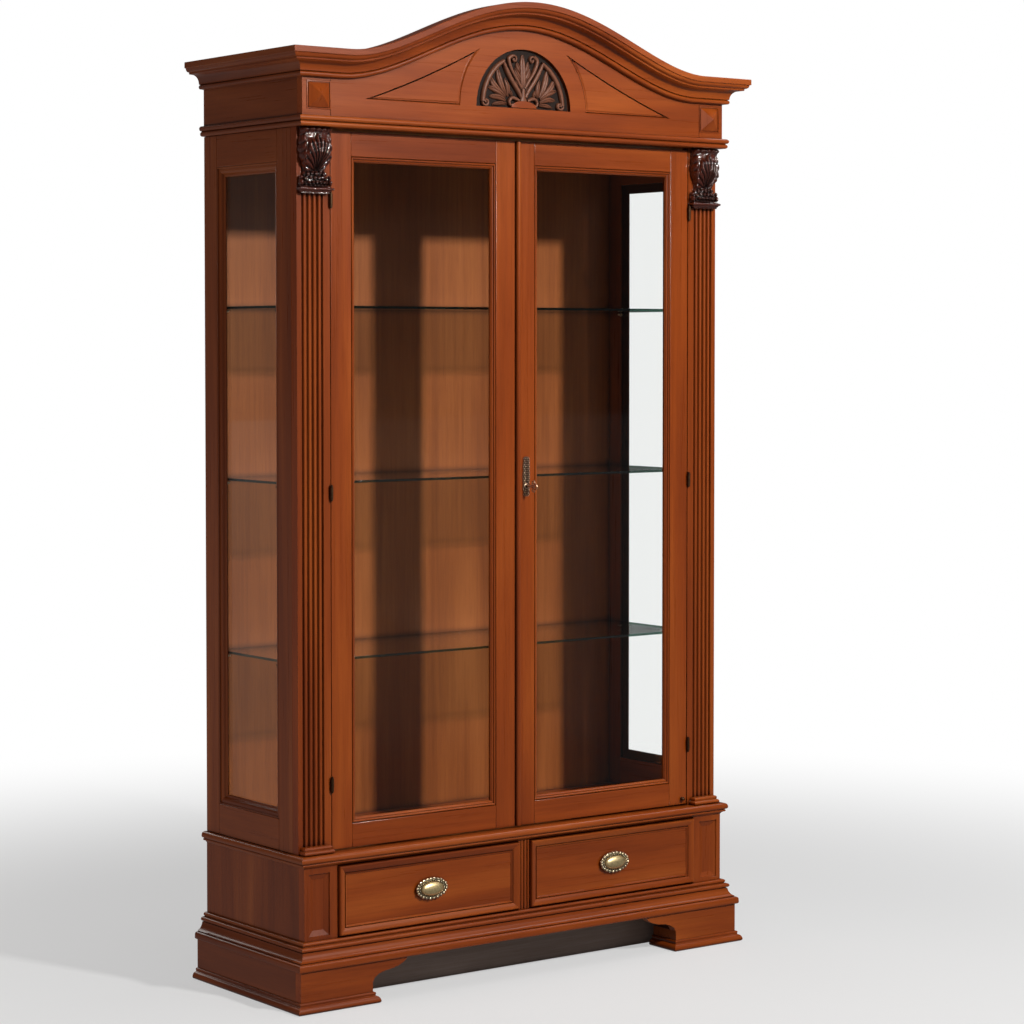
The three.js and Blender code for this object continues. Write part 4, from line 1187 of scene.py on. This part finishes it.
def escutcheon():
    """A long narrow plate with round shoulders, covered in small beads, and a round keyhole collar."""
    lo, hi = span("escutcheon")
    middle, height = (lo.x + hi.x) / 2, hi.z - lo.z
    half_width = (hi.x - lo.x) / 2 * ESCUTCHEON_WIDENING

    def outline(scale, depth):
        points = []
        for i in range(72):
            t = 2 * math.pi * i / 72
            side = math.copysign(abs(math.cos(t)) ** 0.35, math.cos(t))
            wave = 1 + 0.06 * math.cos(10 * t)
            points.append((middle + half_width * wave * scale * side * 0.92, hi.y - depth,
                           (lo.z + hi.z) / 2 + height / 2 * (scale * 0.2 + 0.8) * math.sin(t)))
        return points

    parts = Parts()
    steps = ((1.0, 0.0), (1.0, 0.9), (0.9, 1.8), (0.8, 1.0), (0.76, 0.9))
    parts.add_loft([outline(scale, depth) for scale, depth in steps])
    key_z = (low("key").z + high("key").z) / 2
    for i, z in enumerate(spaced(lo.z + 5, hi.z - 5, ESCUTCHEON_ROWS - 1)):
        if abs(z - key_z) < 8:
            continue
        for step in (-1.5, -0.5, 0.5, 1.5):
            offset = (step + (0.2 if i % 2 else -0.2)) * half_width * 0.42
            size = 2.6 if int(i + step + 2) % 2 else 1.8
            parts.add_ball((middle + offset, hi.y - 1.6, z), (size * 0.85, size, size), 6, 8)
    collar = [(6.8, 0), (6.8, -2.2), (5.6, -3.0), (4.4, -2.8), (3.4, -1.0)]
    parts.add_loft(turned((middle, hi.y, key_z), "y", collar))
    parts.build("escutcheon_plate", BRONZE, body="door_right", replaces="escutcheon", crease=50)


def key():
    """A small cabinet key: pierced three-lobed bow, collars and shank."""
    lo, hi = span("key")
    x, z = (lo.x + hi.x) / 2, (lo.z + hi.z) / 2
    parts = Parts()
    bow_y = lo.y + 8.2
    for centre_y, centre_z, radius, thick in (
        (bow_y, z, 5.6, 1.7), (bow_y + 7.2, z + 8.2, 4.6, 1.6), (bow_y + 7.2, z - 8.2, 4.6, 1.6),
    ):
        rings = []
        for u, v in circle(1.0, 28):
            rings.append([
                (x + out, centre_y + (radius + swell) * u, centre_z + (radius + swell) * v)
                for swell, out in circle(thick, 10)
            ])
        parts.add_loft(rings, closed=True)
    parts.add_ball((x, lo.y + 1.6, z), (2.0, 1.6, 2.0), 6, 10)
    shank = [(1.6, 5.0), (2.2, 9), (3.6, 15.5), (4.2, 16.4), (3.2, 17.6), (2.1, 18.4), (2.1, 22), (3.0, 22.8),
             (3.0, 24.2), (2.1, 25), (2.1, hi.y - 0.2 - bow_y)]
    parts.add_loft(turned((x, bow_y, z), "y", shank))
    parts.build("key_shank", BRONZE, body="key", replaces="key", crease=50)


def door_stop():
    """A small ball on a neck at the right door's lower outer corner."""
    lo, hi = span("door_frame_right")
    stations = [(3.6, 0.6), (3.6, -0.8), (2.0, -1.4), (2.0, -3.0), (3.6, -3.8), (4.6, -5.4), (4.8, -7.0),
                (4.2, -8.8), (2.6, -10.2), (0.4, -10.8)]
    loft("door_stop_ball", turned((hi.x - 16, lo.y, lo.z + 14), "y", stations), IRON, body="door_right",
         crease=60)


def back_screws():
    """Screws round the edges of the two back panels."""
    lo, hi = span("upper_back")
    spots = [(x, z) for x in (lo.x + 12, hi.x - 12) for z in spaced(lo.z + 30, hi.z - 30, 8)]
    spots += [(x, z) for x in spaced(lo.x + 150, hi.x - 150, 4) for z in (lo.z + 14, hi.z - 14)]
    below, above = span("lower_back")
    spots += [(x, z) for x in spaced(below.x + 12, above.x - 12, 6) for z in (below.z + 14, above.z - 14)]
    screws = Parts()
    head = [(4.2, -0.6), (4.2, 0.4), (3.4, 1.1), (1.5, 1.4), (1.2, 0.7)]
    for x, z in spots:
        screws.add_loft(turned((x, hi.y, z), "y", head, 14))
    screws.build("back_screws", IRON, crease=40)


for side, sign in SIDES:
    door(side, sign)
meeting_bead()
for side, sign in SIDES:
    for level in ("bottom", "middle", "top"):
        hinge(side, sign, level)
escutcheon()
key()
door_stop()
back_screws()


# ---------------------------------------------------------------- studio
def floor_material():
    """A pale floor that glows: painted light lifts it to pure white away from the cabinet and pales the cast
    shadow near it, and it lights and mirrors little of it.
    """
    tree = new_tree("studio_floor")
    matt = tree.add("BsdfPrincipled", "BSDF", {"Base Color": (0.66, 0.67, 0.69, 1.0), "Roughness": 0.55})
    place = tree.add("TexCoord", "Object", {})
    distance = tree.add("VectorMath", "Value", {0: place}, operation="LENGTH")
    fade = tree.add("MapRange", "Result", {"From Min": 1.2, "From Max": 3.6, "Value": distance},
                    interpolation_type="SMOOTHSTEP")
    glow = tree.add("Emission", "Emission", {"Color": (*WHITE, 1.0), "Strength": 1.0})
    # Painted light: near the cabinet the floor is 46 % self-glow over the lit floor, which pales the cast
    # shadow; further out the glow takes over entirely.
    shown = tree.choose(fade, tree.choose(0.46, matt, glow), glow)
    bounce = tree.add("BsdfDiffuse", "BSDF", {"Color": (0.20, 0.20, 0.20, 1.0)})
    dim = tree.add("Emission", "Emission", {"Color": (*WHITE, 1.0), "Strength": 0.14})
    diffuse_ray = tree.add("LightPath", "Is Diffuse Ray", {})
    glossy_ray = diffuse_ray.node.outputs["Is Glossy Ray"]
    return tree.finish(tree.choose(glossy_ray, tree.choose(diffuse_ray, shown, bounce), dim))


def floor():
    """A wide plane just under the cabinet."""
    reach = 40.0
    mesh = bpy.data.meshes.new("studio_floor")
    mesh.from_pydata([(-reach, -reach, 0), (reach, -reach, 0), (reach, reach, 0), (-reach, reach, 0)], [],
                     [(0, 1, 2, 3)])
    mesh.materials.append(floor_material())
    plane = bpy.data.objects.new("studio_floor", mesh)
    plane.location.z = -0.0005
    scene.collection.objects.link(plane)


def backdrop():
    """Pure white to the camera, with only a little of it as fill light and in reflections."""
    scene.world = bpy.data.worlds.new("studio")
    tree = Tree(scene.world)
    seen = tree.add("Background", "Background", {"Color": (*WHITE, 1.0), "Strength": 1.0})
    ambient = tree.add("Background", "Background", {"Color": (0.97, 0.98, 1.0, 1.0), "Strength": 0.09})
    mirrored = tree.add("Background", "Background", {"Color": (*WHITE, 1.0), "Strength": 0.05})
    glossy_ray = tree.add("LightPath", "Is Glossy Ray", {})
    camera_ray = glossy_ray.node.outputs["Is Camera Ray"]
    tree.finish(tree.choose(camera_ray, tree.choose(glossy_ray, ambient, mirrored), seen), "OutputWorld")


def lamp(name, location, target, size, power, color=WHITE, mirrored=True, diffuse=True):
    """A rectangular area lamp aimed at the target, which the camera can't see."""
    data = bpy.data.lights.new(name, "AREA")
    data.shape = "RECTANGLE"
    data.size, data.size_y = size
    data.energy = power
    data.color = color
    light = bpy.data.objects.new(name, data)
    light.location = location
    light.rotation_euler = (Vector(target) - Vector(location)).to_track_quat("-Z", "Y").to_euler()
    light.visible_camera = False
    light.visible_glossy = mirrored
    light.visible_diffuse = diffuse
    scene.collection.objects.link(light)


def lamps():
    """A small hard key light, soft panels round it, and panels that only fill or only shine."""
    lamp("key_light", (0.70, -4.16, 3.45), (0.0, 0.0, 1.1), (0.28, 0.28), 205, (1.0, 0.98, 0.94))
    lamp("sheen_panel", (0.1, -4.5, 3.6), (0.0, 0.0, 1.1), (1.6, 1.6), 56, (1.0, 0.9, 0.82), diffuse=False)
    lamp("rear_panel", (0.0, 5.2, 2.6), (0.0, 0.0, 1.0), (2.4, 2.4), 34, (1.0, 0.97, 0.93))
    lamp("left_panel", (-3.6, 0.5, 0.6), (-0.6, 0.0, 0.6), (1.6, 1.0), 30, (1.0, 0.93, 0.85), mirrored=False)
    lamp("front_panel", (-0.6, -5.6, 2.0), (0.0, 0.0, 1.1), (1.0, 1.6), 6, (1.0, 0.94, 0.86), mirrored=False)
    lamp("right_panel", (2.4, -0.2, 3.4), (0.2, -0.2, 1.2), (1.3, 1.3), 14)
    lamp("crown_panel", (3.3, -5.2, 3.15), (0.0, 0.0, 1.2), (2.6, 1.0), 6, (1.0, 0.96, 0.93))
    lamp("top_panel", (0.0, -0.9, 4.4), (0.0, 0.0, 0.0), (3.0, 3.0), 34, (1.0, 0.94, 0.86), mirrored=False)


def camera():
    """The photograph's viewing angle."""
    data = bpy.data.cameras.new("camera")
    data.lens = 97.03
    data.sensor_width = 36.0
    data.shift_y = -0.0596
    data.dof.use_dof = False
    eye = bpy.data.objects.new("camera", data)
    eye.location = (-3.824, -5.232, 1.453)
    pitch, yaw = math.radians(-2.203), math.radians(-36.888)
    eye.rotation_euler = (math.pi / 2 + pitch, 0.0, yaw)
    scene.collection.objects.link(eye)
    scene.camera = eye


floor()
backdrop()
lamps()
camera()
scene.view_settings.view_transform = "Standard"
